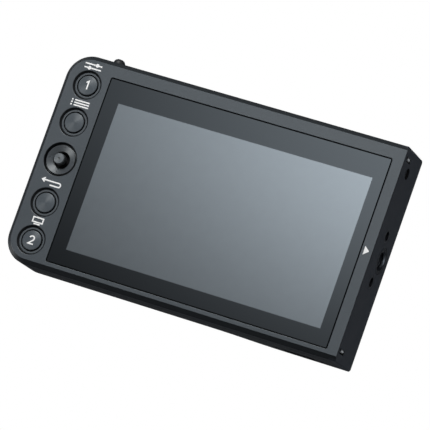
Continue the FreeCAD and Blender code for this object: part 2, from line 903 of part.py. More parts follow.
def make_stick_housing():
    depths = (housing_front, key_board_front)
    outer = block(about(control_x, 2 * housing_half), depths, about(0, 2 * housing_half))
    room = block(about(control_x, 2 * housing_half_room), depths, about(0, 2 * housing_half_room))
    pin_radius = trunnion_radius + turning_clearance
    pins = rod_across(pivot_depth, 0, pin_radius, *about(control_x, 2 * housing_half))
    return outer.cut([room, pins])


def make_stick_yoke():
    ring = rod_back(control_x, 0, yoke_radius, gimbal_front, gimbal_back)
    reach = housing_half_room + trunnion_reach
    pins = rod_across(pivot_depth, 0, trunnion_radius, control_x - reach, control_x + reach)
    hole = rod_back(control_x, 0, yoke_hole_radius, gimbal_front, gimbal_back)
    sockets = rod_up(control_x, pivot_depth, trunnion_radius + turning_clearance, -yoke_radius, yoke_radius)
    return joined(ring, pins).cut([hole, sockets])


def make_stick_rocker():
    disc = rod_back(control_x, 0, rocker_radius, gimbal_front, gimbal_back)
    reach = yoke_hole_radius + trunnion_reach
    pins = rod_up(control_x, pivot_depth, trunnion_radius, -reach, reach)
    hole = rod_back(control_x, 0, stem_radius + turning_clearance, gimbal_front, gimbal_back)
    return joined(disc, pins).cut(hole)


def make_stick_stem():
    top = -stick_proud + stick_cap_floor
    shaft = rod_back(control_x, 0, stem_radius, top, gimbal_back + stem_foot_thickness)
    foot = rod_back(control_x, 0, stem_foot_radius, gimbal_back, gimbal_back + stem_foot_thickness)
    return joined(shaft, foot)


def make_stick_cap():
    top = -stick_proud
    bottom = top + stick_cap_length
    bore = stem_radius + fit_clearance
    return turned(control_x, 0, [
        (0, top + stick_dimple_sink),
        (stick_dimple_radius, top),
        (stick_cap_radius - stick_cap_chamfer, top),
        (stick_cap_radius, top + stick_cap_chamfer),
        (stick_cap_radius, bottom - stick_cap_chamfer),
        (stick_cap_radius - stick_cap_chamfer, bottom),
        (bore, bottom),
        (bore, top + stick_cap_floor),
        (0, top + stick_cap_floor),
    ])


def make_stick_contact():
    return rod_back(control_x, 0, contact_radius, key_board_front - contact_thickness, key_board_front)


# Screws: plain shank, flat head
def make_shell_screw(x, z):
    tip = chassis_back - shell_screw_grip
    seat = body_depth - shell_screw_sink
    head = rod_back(x, z, shell_screw_head_radius, seat, seat + shell_screw_head_thickness)
    return joined(rod_back(x, z, shell_screw_radius, tip, seat), head)


def make_small_screw(x, z, tip, seat):
    head = rod_back(x, z, small_screw_head_radius, seat, seat + small_screw_head_thickness)
    return joined(rod_back(x, z, small_screw_radius, tip, seat), head)


def make_rear_screws():
    return [make_shell_screw(x, z) for x, z in posts]


def make_board_screws():
    return [make_small_screw(x, z, board_screw_tip, board_back) for x, z in board_holes]


def make_key_board_screws():
    tip = key_board_front - small_screw_grip
    return [make_small_screw(key_post_x, z, tip, key_board_back) for z in key_post_heights]


def make_side_screw():
    place = (side_screw_depth, side_screw_height)
    shank = rod_across(*place, small_screw_radius, cavity_right - small_screw_grip, side_screw_seat)
    head_top = side_screw_seat + small_screw_head_thickness
    return joined(shank, rod_across(*place, small_screw_head_radius, side_screw_seat, head_top))


# Cable socket: shell with a mouth in the underside and a tongue that carries the contacts
def make_socket():
    body = block(
        about(socket_x, socket_width),
        (board_back, socket_back),
        (socket_bottom, socket_bottom + socket_height),
    )
    mouth = block(
        about(socket_x, socket_mouth_width),
        (socket_mouth_front, socket_mouth_back),
        (socket_bottom, socket_mouth_top),
    )
    tongue = block(
        about(socket_x, tongue_width),
        about(socket_mouth_middle, tongue_thickness),
        (socket_bottom + tongue_sink, socket_mouth_top),
    )
    return joined(body.cut(mouth), tongue)


def make_socket_contacts():
    contacts = []
    front_face, back_face = about(socket_mouth_middle, tongue_thickness)
    for index in range(contact_count):
        x = socket_x + (index - (contact_count - 1) / 2) * contact_pitch
        x_range = about(x, contact_width)
        z_range = (socket_mouth_top - contact_length, socket_mouth_top)
        contacts.append(block(x_range, (front_face - contact_leaf, front_face), z_range))
        contacts.append(block(x_range, (back_face, back_face + contact_leaf), z_range))
    return contacts


os.makedirs("parts", exist_ok=True)
body = body_envelope()
export(make_front_bezel(body), "front_bezel")
export(make_rear_cover(body), "rear_cover")
export(make_side_plate(body), "side_plate")
export(make_thread_insert(), "thread_insert")
export_group(make_bushes(), "locating_bushes")
export_group(make_catch_pins(), "catch_pins")
export(make_side_screw(), "side_screw")
export(make_gasket(), "shell_gasket")
export_group(make_rear_screws(), "rear_screws")
export(make_glass(), "touch_glass")
export(make_seal(), "glass_seal")
export(make_screen_layer(face_wall, panel_back), "lcd_panel")
export(make_screen_layer(panel_back, backlight_back), "backlight_unit")
export(make_chassis(), "display_chassis")
export(make_main_board(), "main_board")
export_group(make_chips(), "board_chips")
export_group(make_connectors(), "board_connectors")
export_group(make_board_screws(), "board_screws")
export(make_heat_pad(), "heat_pad")
export(make_display_ribbon(), "display_ribbon")
export(make_key_ribbon(), "key_ribbon")
export(make_key_board(), "key_board")
export_group(make_key_board_screws(), "key_board_screws")
export_group(make_switches(), "tact_switches")
for name, height in button_heights.items():
    export(make_button_cap(height), name + "_button")
    export(make_plunger(height), name + "_plunger")
export(make_mirror_button(), "mirror_button")
export(make_mirror_plunger(), "mirror_plunger")
export(make_mirror_switch(), "mirror_switch")
export(make_stick_ring(), "joystick_ring")
export(make_stick_housing(), "joystick_housing")
export(make_stick_yoke(), "joystick_yoke")
export(make_stick_rocker(), "joystick_rocker")
export(make_stick_stem(), "joystick_stem")
export(make_stick_cap(), "joystick_cap")
export(make_stick_contact(), "joystick_contact")
export(make_socket(), "video_socket")
export_group(make_socket_contacts(), "socket_contacts")
print("body", round(body_width, 2), "x", round(mount_end_depth, 2), "x", round(body_height, 2), "mm")
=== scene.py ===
import bmesh
import bpy
import math
from mathutils import Matrix, Vector


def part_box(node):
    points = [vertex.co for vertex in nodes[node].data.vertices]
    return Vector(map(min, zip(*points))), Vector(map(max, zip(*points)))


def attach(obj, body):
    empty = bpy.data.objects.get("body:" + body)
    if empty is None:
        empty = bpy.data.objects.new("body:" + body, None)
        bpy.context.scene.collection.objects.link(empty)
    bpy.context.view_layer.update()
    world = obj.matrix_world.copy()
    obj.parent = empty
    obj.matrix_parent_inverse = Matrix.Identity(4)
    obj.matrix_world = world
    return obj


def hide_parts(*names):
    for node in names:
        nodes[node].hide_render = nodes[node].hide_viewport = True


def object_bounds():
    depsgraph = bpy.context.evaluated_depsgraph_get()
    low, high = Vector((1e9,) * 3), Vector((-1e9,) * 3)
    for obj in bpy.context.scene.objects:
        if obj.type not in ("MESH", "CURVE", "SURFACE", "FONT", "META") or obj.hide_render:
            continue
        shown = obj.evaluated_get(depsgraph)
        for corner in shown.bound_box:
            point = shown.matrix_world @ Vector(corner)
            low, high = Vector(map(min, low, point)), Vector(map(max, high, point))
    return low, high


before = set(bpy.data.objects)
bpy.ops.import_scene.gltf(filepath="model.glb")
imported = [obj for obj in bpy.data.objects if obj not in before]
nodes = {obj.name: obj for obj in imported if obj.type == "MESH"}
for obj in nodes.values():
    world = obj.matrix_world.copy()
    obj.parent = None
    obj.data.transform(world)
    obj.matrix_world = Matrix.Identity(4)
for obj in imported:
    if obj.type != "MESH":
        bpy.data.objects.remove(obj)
cadBox = [list(corner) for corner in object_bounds()]
scene = bpy.context.scene
scene.view_settings.view_transform = "Standard"
mm = 0.001
print("frame loaded:", len(nodes), "nodes")


# small helpers for node trees
def addNode(tree, kind, inputs=None, **settings):
    node = tree.nodes.new(kind)
    for key, value in settings.items():
        setattr(node, key, value)
    for key, value in (inputs or {}).items():
        if isinstance(value, bpy.types.NodeSocket):
            tree.links.new(value, node.inputs[key])
        else:
            node.inputs[key].default_value = value
    return node


def calc(tree, operation, *values):
    return addNode(tree, "ShaderNodeMath", dict(enumerate(values)), operation=operation).outputs[0]


def blendColour(tree, factor, first, second):
    ends = [end if isinstance(end, bpy.types.NodeSocket) else (*end, 1) for end in (first, second)]
    return addNode(tree, "ShaderNodeMix", {0: factor, 6: ends[0], 7: ends[1]}, data_type="RGBA").outputs[2]


def blendValue(tree, factor, first, second):
    return addNode(tree, "ShaderNodeMix", {0: factor, 2: first, 3: second}).outputs[0]


def spread(tree, value, low, high):
    return addNode(tree, "ShaderNodeMapRange", {0: value, 3: low, 4: high}).outputs[0]


def objectPlace(tree):
    return addNode(tree, "ShaderNodeTexCoord").outputs["Object"]


def newGroup(name, inputs, outputs):
    group = bpy.data.node_groups.new(name, "ShaderNodeTree")
    for label, kind, value in inputs:
        group.interface.new_socket(label, in_out="INPUT", socket_type=kind).default_value = value
    for label in outputs:
        group.interface.new_socket(label, in_out="OUTPUT", socket_type="NodeSocketFloat")
    return group, addNode(group, "NodeGroupInput").outputs, addNode(group, "NodeGroupOutput").inputs


def useGroup(tree, group, **values):
    node = addNode(tree, "ShaderNodeGroup", node_tree=group)
    for label, value in values.items():
        node.inputs[label].default_value = value
    return node.outputs


# fine moulded or blasted grain, with slow patches for the gloss
def makeGrainGroup():
    group, given, result = newGroup("mouldedGrain", [
        ("Scale", "NodeSocketFloat", 3000.0), ("Patch", "NodeSocketFloat", 60.0)], ["Shade", "Height", "Gloss"])
    place = objectPlace(group)
    fine = addNode(group, "ShaderNodeTexNoise", {"Vector": place, "Scale": given["Scale"], "Detail": 3.0,
                                                 "Roughness": 0.65}).outputs[0]
    pits = addNode(group, "ShaderNodeTexVoronoi", {"Vector": place, "Scale": given["Scale"]}).outputs["Distance"]
    patch = addNode(group, "ShaderNodeTexNoise", {"Vector": place, "Scale": given["Patch"], "Detail": 2.0}).outputs[0]
    shade = calc(group, "MULTIPLY_ADD", fine, 1.5, -0.4)
    slow = calc(group, "MULTIPLY_ADD", patch, 0.5, -0.15)
    group.links.new(calc(group, "ADD", shade, slow), result["Shade"])
    group.links.new(calc(group, "MULTIPLY_ADD", pits, 0.5, calc(group, "MULTIPLY", fine, 0.6)), result["Height"])
    group.links.new(patch, result["Gloss"])
    return group


# concentric lathe marks round an axis along Y
def makeTurnedGroup():
    group, given, result = newGroup("turnedRings", [
        ("Centre", "NodeSocketVector", (0.0, 0.0, 0.0)), ("Pitch", "NodeSocketFloat", 0.0001),
        ("Core", "NodeSocketFloat", 0.0)], ["Shade", "Height", "Core"])
    shifted = addNode(group, "ShaderNodeVectorMath", {0: objectPlace(group), 1: given["Centre"]},
                      operation="SUBTRACT").outputs[0]
    parts = addNode(group, "ShaderNodeSeparateXYZ", {0: shifted}).outputs
    squared = calc(group, "MULTIPLY_ADD", parts[0], parts[0], calc(group, "MULTIPLY", parts[2], parts[2]))
    radius = calc(group, "SQRT", squared)
    turns = calc(group, "DIVIDE", radius, given["Pitch"])
    within = calc(group, "DIVIDE", calc(group, "SUBTRACT", given["Core"], radius), given["Pitch"])
    group.links.new(addNode(group, "ShaderNodeClamp", {0: within}).outputs[0], result["Core"])
    wander = addNode(group, "ShaderNodeTexNoise", {"Scale": 1.7, "W": turns}, noise_dimensions="1D").outputs[0]
    wave = calc(group, "SINE", calc(group, "MULTIPLY", turns, 2 * math.pi))
    group.links.new(calc(group, "MULTIPLY_ADD", wave, 0.5, 0.5), result["Height"])
    group.links.new(wander, result["Shade"])
    return group


# long fine scratches left by brushing or rolling
def makeBrushedGroup():
    group, given, result = newGroup("brushedLines", [
        ("Stretch", "NodeSocketVector", (300.0, 12000.0, 12000.0))], ["Shade", "Height"])
    turned = addNode(group, "ShaderNodeVectorMath", {0: objectPlace(group), 1: given["Stretch"]},
                     operation="MULTIPLY").outputs[0]
    lines = addNode(group, "ShaderNodeTexNoise", {"Vector": turned, "Scale": 1.0, "Detail": 4.0}).outputs[0]
    group.links.new(calc(group, "MULTIPLY_ADD", lines, 1.6, -0.3), result["Shade"])
    group.links.new(lines, result["Height"])
    return group


# soft-edged rectangle in the X-Z plane
def makeWindowGroup():
    group, given, result = newGroup("windowMask", [
        ("Centre", "NodeSocketVector", (0.0, 0.0, 0.0)), ("Half Width", "NodeSocketFloat", 0.01),
        ("Half Height", "NodeSocketFloat", 0.01), ("Edge", "NodeSocketFloat", 0.0001)], ["Mask"])
    shifted = addNode(group, "ShaderNodeVectorMath", {0: objectPlace(group), 1: given["Centre"]},
                      operation="SUBTRACT").outputs[0]
    parts = addNode(group, "ShaderNodeSeparateXYZ", {0: shifted}).outputs
    across = calc(group, "SUBTRACT", given["Half Width"], calc(group, "ABSOLUTE", parts[0]))
    along = calc(group, "SUBTRACT", given["Half Height"], calc(group, "ABSOLUTE", parts[2]))
    inside = calc(group, "DIVIDE", calc(group, "MINIMUM", across, along), given["Edge"])
    clear = addNode(group, "ShaderNodeClamp", {0: calc(group, "ADD", inside, 0.5)}).outputs[0]
    group.links.new(clear, result["Mask"])
    return group


# shade that sets in behind a plane, counted along the inward direction
def makeRecessGroup():
    group, given, result = newGroup("recessShade", [
        ("Inward", "NodeSocketVector", (0.0, 1.0, 0.0)), ("Front", "NodeSocketFloat", 0.0),
        ("Fade", "NodeSocketFloat", 0.0001)], ["Mask"])
    along = addNode(group, "ShaderNodeVectorMath", {0: objectPlace(group), 1: given["Inward"]},
                    operation="DOT_PRODUCT").outputs["Value"]
    depth = calc(group, "DIVIDE", calc(group, "SUBTRACT", along, given["Front"]), given["Fade"])
    group.links.new(addNode(group, "ShaderNodeClamp", {0: depth}).outputs[0], result["Mask"])
    return group


mouldedGrain = makeGrainGroup()
turnedRings = makeTurnedGroup()
brushedLines = makeBrushedGroup()
windowMask = makeWindowGroup()
recessShade = makeRecessGroup()


def newFinish(name, look):
    material = bpy.data.materials.new(name)
    material.use_nodes = True
    tree = material.node_tree
    tree.nodes.clear()
    shader = addNode(tree, "ShaderNodeBsdfPrincipled")
    addNode(tree, "ShaderNodeOutputMaterial", {"Surface": shader.outputs[0]})
    for label, value in look.get("set", {}).items():
        shader.inputs[label].default_value = value
    return material, tree, shader


def linkShader(tree, shader, **sockets):
    for label, socket in sockets.items():
        tree.links.new(socket, shader.inputs[label.replace("_", " ")])


def bumped(tree, height, depth, strength=1.0, under=None):
    inputs = {"Height": height, "Distance": depth, "Strength": strength}
    if under is not None:
        inputs["Normal"] = under
    return addNode(tree, "ShaderNodeBump", inputs).outputs[0]


def mouldedFinish(name, look):
    material, tree, shader = newFinish(name, look)
    grain = useGroup(tree, mouldedGrain, Scale=look["grain"])
    linkShader(
        tree, shader,
        Base_Color=blendColour(tree, grain["Shade"], look["dark"], look["light"]),
        Roughness=spread(tree, grain["Gloss"], *look["rough"]),
        Normal=bumped(tree, grain["Height"], look["depth"]),
    )
    return material


# turned face with the sheen that lathe marks give; painted shade darkens the side and the core round the axis
turnedLook = {"sideFade": 0.12 * mm, "sideRough": 0.6}


def turnedFinish(name, look, node):
    material, tree, shader = newFinish(name, look)
    rings = useGroup(tree, turnedRings, Centre=middle(node), Pitch=look["pitch"], Core=look.get("core", 0.0))
    grain = useGroup(tree, mouldedGrain, Scale=look["grain"])
    # painted shade: the side colour covers the sides below the face and the core at the centre
    side = useGroup(tree, recessShade, Front=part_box(node)[0].y + look["face"],
                    Fade=turnedLook["sideFade"])["Mask"]
    side = calc(tree, "MAXIMUM", side, rings["Core"])
    fine = bumped(tree, grain["Height"], look["depth"])
    face = blendColour(tree, rings["Shade"], look["dark"], look["light"])
    linkShader(
        tree, shader,
        Base_Color=blendColour(tree, side, face, look["side"]),
        Roughness=blendValue(tree, side, spread(tree, grain["Gloss"], *look["rough"]), turnedLook["sideRough"]),
        Normal=bumped(tree, rings["Height"], look["groove"], under=fine),
        Tangent=addNode(tree, "ShaderNodeTangent", direction_type="RADIAL", axis="Y").outputs[0],
    )
    return material


def metalFinish(name, look):
    material, tree, shader = newFinish(name, look)
    shader.inputs["Metallic"].default_value = 1.0
    lines = useGroup(tree, brushedLines, Stretch=look["stretch"])
    linkShader(
        tree, shader,
        Base_Color=blendColour(tree, lines["Shade"], look["dark"], look["light"]),
        Roughness=spread(tree, lines["Shade"], *look["rough"]),
        Normal=bumped(tree, lines["Height"], look["depth"]),
    )
    return material


def dress(material, *names):
    for name in names:
        nodes[name].data.materials.clear()
        nodes[name].data.materials.append(material)


def middle(name):
    low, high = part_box(name)
    return (low + high) / 2


# camera at the photograph's viewing angle
cameraLook = {
    "target": (-0.05263, -0.0124, -0.00284),
    "distance": 1.05, "azimuth": 20.08, "elevation": -7.495, "roll": 19.51,
    "lens": 280.5, "sensor": 36.0, "near": 0.01,
}


def addCamera(look):
    turn, rise, roll = (math.radians(look[key]) for key in ("azimuth", "elevation", "roll"))
    back = Vector((math.sin(turn) * math.cos(rise), -math.cos(turn) * math.cos(rise), math.sin(rise)))
    level = Vector((math.cos(turn), math.sin(turn), 0))
    upright = back.cross(level)
    right = level * math.cos(roll) + upright * math.sin(roll)
    up = back.cross(right)
    place = Matrix((right, up, back)).transposed().to_4x4()
    place.translation = Vector(look["target"]) + back * look["distance"]
    data = bpy.data.cameras.new("camera")
    data.lens = look["lens"]
    data.sensor_width = look["sensor"]
    data.clip_start = look["near"]
    camera = bpy.data.objects.new("camera", data)
    camera.matrix_world = place
    scene.collection.objects.link(camera)
    scene.camera = camera


addCamera(cameraLook)

# soft studio lamps, aimed at the middle of the body
lampLooks = {
    "key": {"place": (-0.27, -0.85, 0.56), "watts": 12.0, "size": 0.3, "colour": (1.0, 0.99, 0.97)},
    "side": {"place": (0.95, 0.12, -0.05), "watts": 3.0, "size": 0.4, "colour": (0.93, 0.97, 1.0)},
    "back": {"place": (-0.35, 0.95, 0.55), "watts": 8.0, "size": 0.6, "colour": (0.97, 0.985, 1.0)},
    "left": {"place": (-0.75, 0.8, 0.45), "watts": 2.0, "size": 0.5, "colour": (0.97, 0.985, 1.0)},
    "under": {"place": (0.40, 0.45, -0.75), "watts": 1.0, "size": 0.6, "colour": (0.95, 0.98, 1.0)},
    "corner": {"place": (-0.95, 0.15, -0.44), "watts": 1.6, "size": 0.3, "colour": (0.97, 0.985, 1.0)},
}


def addLamps(looks):
    aim = Vector(cameraLook["target"])
    for name, look in looks.items():
        data = bpy.data.lights.new(name, "AREA")
        data.energy = look["watts"]
        data.size = look["size"]
        data.color = look["colour"]
        lamp = bpy.data.objects.new(name, data)
        lamp.location = look["place"]
        lamp.rotation_euler = (aim - lamp.location).to_track_quat("-Z", "Y").to_euler()
        scene.collection.objects.link(lamp)


addLamps(lampLooks)

# white surroundings for the camera and for reflections, a dimmer fill for diffuse light
worldLook = {"fill": 0.07, "colour": (0.95, 0.98, 1.0)}


def addWorld(look):
    world = bpy.data.worlds.new("studio")
    world.use_nodes = True
    tree = world.node_tree
    tree.nodes.clear()
    path = addNode(tree, "ShaderNodeLightPath").outputs
    seen = calc(tree, "ADD", path["Is Camera Ray"], path["Is Glossy Ray"])
    seen = calc(tree, "ADD", seen, path["Is Transmission Ray"])
    fill = addNode(tree, "ShaderNodeBackground", {"Color": (*look["colour"], 1), "Strength": look["fill"]})
    white = addNode(tree, "ShaderNodeBackground", {"Color": (1, 1, 1, 1), "Strength": 1.0})
    mix = addNode(tree, "ShaderNodeMixShader", {0: seen, 1: fill.outputs[0], 2: white.outputs[0]})
    addNode(tree, "ShaderNodeOutputWorld", {"Surface": mix.outputs[0]})
    scene.world = world


addWorld(worldLook)

# pale floor under the base, seen only from above, fading into the white surroundings
floorLook = {"drop": 0.0003, "half": 0.9, "solid": 0.16, "clear": 0.62, "pale": 0.55, "glow": 0.5}


def sheetObject(name, corners, material):
    mesh = bpy.data.meshes.new(name)
    mesh.from_pydata(corners, [], [tuple(range(len(corners)))])
    mesh.materials.append(material)
    sheet = bpy.data.objects.new(name, mesh)
    scene.collection.objects.link(sheet)
    return sheet


def addFloor(look):
    material = bpy.data.materials.new("floor")
    material.use_nodes = True
    tree = material.node_tree
    tree.nodes.clear()
    aim = Vector(cameraLook["target"])
    shifted = addNode(tree, "ShaderNodeVectorMath", {0: objectPlace(tree), 1: (aim.x, 0, cadBox[0][2])},
                      operation="SUBTRACT").outputs[0]
    away = addNode(tree, "ShaderNodeVectorMath", {0: shifted}, operation="LENGTH").outputs["Value"]
    fade = addNode(tree, "ShaderNodeMapRange", {0: away, 1: look["solid"], 2: look["clear"], 3: 0.0, 4: 1.0},
                   interpolation_type="SMOOTHSTEP").outputs[0]
    behind = addNode(tree, "ShaderNodeNewGeometry").outputs["Backfacing"]
    pale = addNode(tree, "ShaderNodeBsdfDiffuse", {"Color": (look["pale"],) * 3 + (1,)})
    glow = addNode(tree, "ShaderNodeEmission", {"Color": (1, 1, 1, 1), "Strength": look["glow"]})
    both = addNode(tree, "ShaderNodeAddShader", {0: pale.outputs[0], 1: glow.outputs[0]})
    clear = addNode(tree, "ShaderNodeBsdfTransparent")
    hidden = calc(tree, "MAXIMUM", fade, behind)
    mix = addNode(tree, "ShaderNodeMixShader", {0: hidden, 1: both.outputs[0], 2: clear.outputs[0]})
    addNode(tree, "ShaderNodeOutputMaterial", {"Surface": mix.outputs[0]})
    level = cadBox[0][2] - look["drop"]
    half = look["half"]
    floor = sheetObject("floor", [(-half, -half, level), (half, -half, level), (half, half, level),
                                  (-half, half, level)], material)
    floor.visible_diffuse = False
    floor.visible_glossy = False
    floor.visible_transmission = False
    floor.visible_shadow = False


addFloor(floorLook)

# reflector card that the glass mirrors: its light grows to the right, upwards and past its lower-left corner
cardLook = {
    "away": 1.0, "colour": (0.865, 1.0, 1.11),
    "start": -1.29, "across": 1.30, "rise": 1.52, "both": -0.26, "swell": 0.67, "bow": 1.04,
    "corner": 4.0, "limit": 6.0, "reach": (-0.6, 1.6),
}


def addCard(look):
    glassLow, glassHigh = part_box("touch_glass")
    faceY = glassLow.y
    eye = scene.camera.matrix_world.translation
    mirrored = Vector((eye.x, 2 * faceY - eye.y, eye.z))

    def onCard(x, z):
        spot = Vector((x, faceY, z))
        return spot + (spot - mirrored) * (look["away"] / (spot - mirrored).length)

    corner = onCard(glassLow.x, glassLow.z)
    across = onCard(glassHigh.x, glassLow.z) - corner
    rise = onCard(glassLow.x, glassHigh.z) - corner
    material = bpy.data.materials.new("reflectorCard")
    material.use_nodes = True
    tree = material.node_tree
    tree.nodes.clear()
    place = addNode(tree, "ShaderNodeUVMap", uv_map="card").outputs[0]
    parts = addNode(tree, "ShaderNodeSeparateXYZ", {0: place}).outputs
    power = calc(tree, "MULTIPLY_ADD", parts[0], look["across"], look["start"])
    power = calc(tree, "MULTIPLY_ADD", parts[1], look["rise"], power)
    power = calc(tree, "MULTIPLY_ADD", calc(tree, "MULTIPLY", parts[0], parts[1]), look["both"], power)
    for part, bend in ((parts[0], look["swell"]), (parts[1], look["bow"])):
        arch = calc(tree, "MULTIPLY", part, calc(tree, "SUBTRACT", 1.0, part))
        power = calc(tree, "MULTIPLY_ADD", calc(tree, "MAXIMUM", arch, 0.0), bend, power)
    beside = calc(tree, "MAXIMUM", calc(tree, "MULTIPLY", parts[0], -1.0), 0.0)
    below = calc(tree, "MAXIMUM", calc(tree, "SUBTRACT", 1.0, parts[1]), 0.0)
    power = calc(tree, "MULTIPLY_ADD", calc(tree, "MULTIPLY", beside, below), look["corner"], power)
    light = calc(tree, "MINIMUM", calc(tree, "EXPONENT", power), look["limit"])
    glow = addNode(tree, "ShaderNodeEmission", {"Color": (*look["colour"], 1), "Strength": light})
    addNode(tree, "ShaderNodeOutputMaterial", {"Surface": glow.outputs[0]})
    reach = look["reach"]
    card = sheetObject("reflectorCard", [corner + across * u + rise * v for u, v in (
        (reach[0], reach[0]), (reach[1], reach[0]), (reach[1], reach[1]), (reach[0], reach[1]))], material)
    layer = card.data.uv_layers.new(name="card")
    for loop, spot in zip(layer.data, ((0, 0), (1, 0), (1, 1), (0, 1))):
        loop.uv = [reach[step] for step in spot]
    card.visible_camera = False
    card.visible_diffuse = False
    card.visible_transmission = False
    card.visible_shadow = False


addCard(cardLook)

# dark flags that keep reflections off the edges: below, behind to the right, above and to the left
flagLook = {
    "behindLow": {"shade": 0.07, "corners": [
        (-1.0, 0.20, -0.04), (0.9, 0.20, -0.04), (0.9, 0.25, -0.7), (-1.0, 0.25, -0.7)]},
    "low": {"shade": 0.08, "corners": [
        (-1.0, 0.25, -0.7), (0.9, 0.25, -0.7), (0.9, -0.75, -0.5), (-1.0, -0.75, -0.5)]},
    "right": {"shade": 0.05, "corners": [
        (0.06, 0.75, -0.5), (0.95, 0.3, -0.5), (0.95, 0.3, 0.6), (0.06, 0.75, 0.6)]},
    "frontRight": {"shade": 0.04, "corners": [
        (0.95, 0.3, -0.6), (0.95, -0.7, -0.6), (0.95, -0.7, 0.7), (0.95, 0.3, 0.7)]},
    "high": {"shade": 0.05, "corners": [
        (-0.9, -0.3, 0.75), (0.9, -0.3, 0.75), (0.9, 0.6, 0.55), (-0.9, 0.6, 0.55)]},
    "left": {"shade": 0.06, "corners": [
        (-0.85, -0.6, -0.25), (-0.85, 0.6, -0.25), (-0.85, 0.6, 1.0), (-0.85, -0.6, 1.0)]},
}
flagTint = (0.9, 1.0, 1.12, 1)


def addFlags(looks):
    for name, look in looks.items():
        material = bpy.data.materials.new(name + "Flag")
        material.use_nodes = True
        tree = material.node_tree
        tree.nodes.clear()
        glow = addNode(tree, "ShaderNodeEmission", {"Color": flagTint, "Strength": look["shade"]})
        addNode(tree, "ShaderNodeOutputMaterial", {"Surface": glow.outputs[0]})
        flag = sheetObject(name + "Flag", look["corners"], material)
        flag.visible_camera = False
        flag.visible_diffuse = False
        flag.visible_transmission = False
        flag.visible_shadow = False


addFlags(flagLook)
print("camera, lamps, floor, card and flags in place")

# painted front shell: satin on the flat face, duller round the edges; painted shade darkens the outer edges and
# sides, and black painted shade fills the walls of the wells and the deep holes
bezelPaint = {
    "dark": (0.0325, 0.039, 0.0455), "light": (0.051, 0.0595, 0.069), "rough": (0.30, 0.38), "grain": 5200.0,
    # the edge colour and the dark colour for the wells are painted shade, for the outer edges and sides and for the
    # walls of the wells and the holes
    "depth": 0.000005, "edge": (0.012, 0.0142, 0.0166), "wellShade": (0.0025, 0.003, 0.0036), "dull": 0.5,
    "edgeDepth": 0.03 * mm, "floorDepth": 0.72 * mm, "holeDepth": 0.9 * mm, "fade": 0.08 * mm,
    "wellsWide": 5.8 * mm, "wellsHigh": 32.8 * mm, "wellsEdge": 0.2 * mm,
    "set": {"Specular IOR Level": 0.29, "Specular Tint": (0.93, 0.975, 1.0, 1)},
}


def bezelFinish(name, look):
    material, tree, shader = newFinish(name, look)
    grain = useGroup(tree, mouldedGrain, Scale=look["grain"])
    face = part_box("front_bezel")[0].y
    behind, floor, hole = (
        useGroup(tree, recessShade, Front=face + look[depth], Fade=look["fade"])["Mask"]
        for depth in ("edgeDepth", "floorDepth", "holeDepth"))
    wells = useGroup(tree, windowMask, **{
        "Centre": middle("joystick_ring"), "Half Width": look["wellsWide"], "Half Height": look["wellsHigh"],
        "Edge": look["wellsEdge"]})["Mask"]
    # painted shade: the edge mask darkens the outer edges and sides, the wall mask blackens the walls of the wells
    # and the deep holes
    edge = calc(tree, "MULTIPLY", behind, calc(tree, "SUBTRACT", 1.0, wells))
    wallShadeMask = calc(tree, "ADD", calc(tree, "SUBTRACT", behind, floor), hole)
    paint = blendColour(tree, grain["Shade"], look["dark"], look["light"])
    paint = blendColour(tree, edge, paint, look["edge"])
    linkShader(
        tree, shader,
        Base_Color=blendColour(tree, calc(tree, "MULTIPLY", wallShadeMask, wells), paint, look["wellShade"]),
        Roughness=blendValue(tree, behind, spread(tree, grain["Gloss"], *look["rough"]), look["dull"]),
        Normal=bumped(tree, grain["Height"], look["depth"]),
    )
    return material


dress(bezelFinish("bezelPaint", bezelPaint), "front_bezel")

# black moulded back shell
coverBlack = {
    "dark": (0.016, 0.0172, 0.0195), "light": (0.032, 0.0345, 0.0385), "rough": (0.5, 0.66), "grain": 3400.0,
    "depth": 0.00003, "set": {"Specular IOR Level": 0.3},
}
dress(mouldedFinish("coverBlack", coverBlack), "rear_cover")

# blasted and blackened end plate, with painted shade that darkens the inside of its slots and screw well
plateBlack = {
    "dark": (0.0125, 0.0148, 0.0195), "light": (0.0245, 0.0296, 0.039), "rough": (0.42, 0.58), "grain": 4200.0,
    "depth": 0.00002, "slotShade": (0.0025, 0.003, 0.0036), "dull": 0.75, "slotDepth": 0.06 * mm, "fade": 0.1 * mm,
    "slotsHigh": 34.2 * mm, "slotsWide": 20 * mm, "slotsBack": 5.5 * mm, "set": {"Specular IOR Level": 0.3},
}


def plateFinish(name, look):
    material, tree, shader = newFinish(name, look)
    grain = useGroup(tree, mouldedGrain, Scale=look["grain"])
    sunk = useGroup(tree, recessShade, Inward=(-1.0, 0.0, 0.0), Front=look["slotDepth"], Fade=look["fade"])["Mask"]
    ahead = useGroup(tree, recessShade, Inward=(0.0, -1.0, 0.0), Front=-look["slotsBack"], Fade=look["fade"])["Mask"]
    within = useGroup(tree, windowMask, **{
        "Half Width": look["slotsWide"], "Half Height": look["slotsHigh"], "Edge": look["fade"]})["Mask"]
    # painted shade inside the slots and the screw well
    slotShade = calc(tree, "MULTIPLY", calc(tree, "MULTIPLY", sunk, ahead), within)
    paint = blendColour(tree, grain["Shade"], look["dark"], look["light"])
    linkShader(
        tree, shader,
        Base_Color=blendColour(tree, slotShade, paint, look["slotShade"]),
        Roughness=blendValue(tree, slotShade, spread(tree, grain["Gloss"], *look["rough"]), look["dull"]),
        Normal=bumped(tree, grain["Height"], look["depth"]),
    )
    return material


dress(plateFinish("plateBlack", plateBlack), "side_plate")

# rubbers, mouldings and pads
rubberBlack = {
    "dark": (0.006, 0.006, 0.007), "light": (0.014, 0.014, 0.016), "rough": (0.6, 0.8), "grain": 6000.0,
    "depth": 0.00001, "set": {"Specular IOR Level": 0.2},
}
dress(mouldedFinish("rubberBlack", rubberBlack), "shell_gasket", "glass_seal")

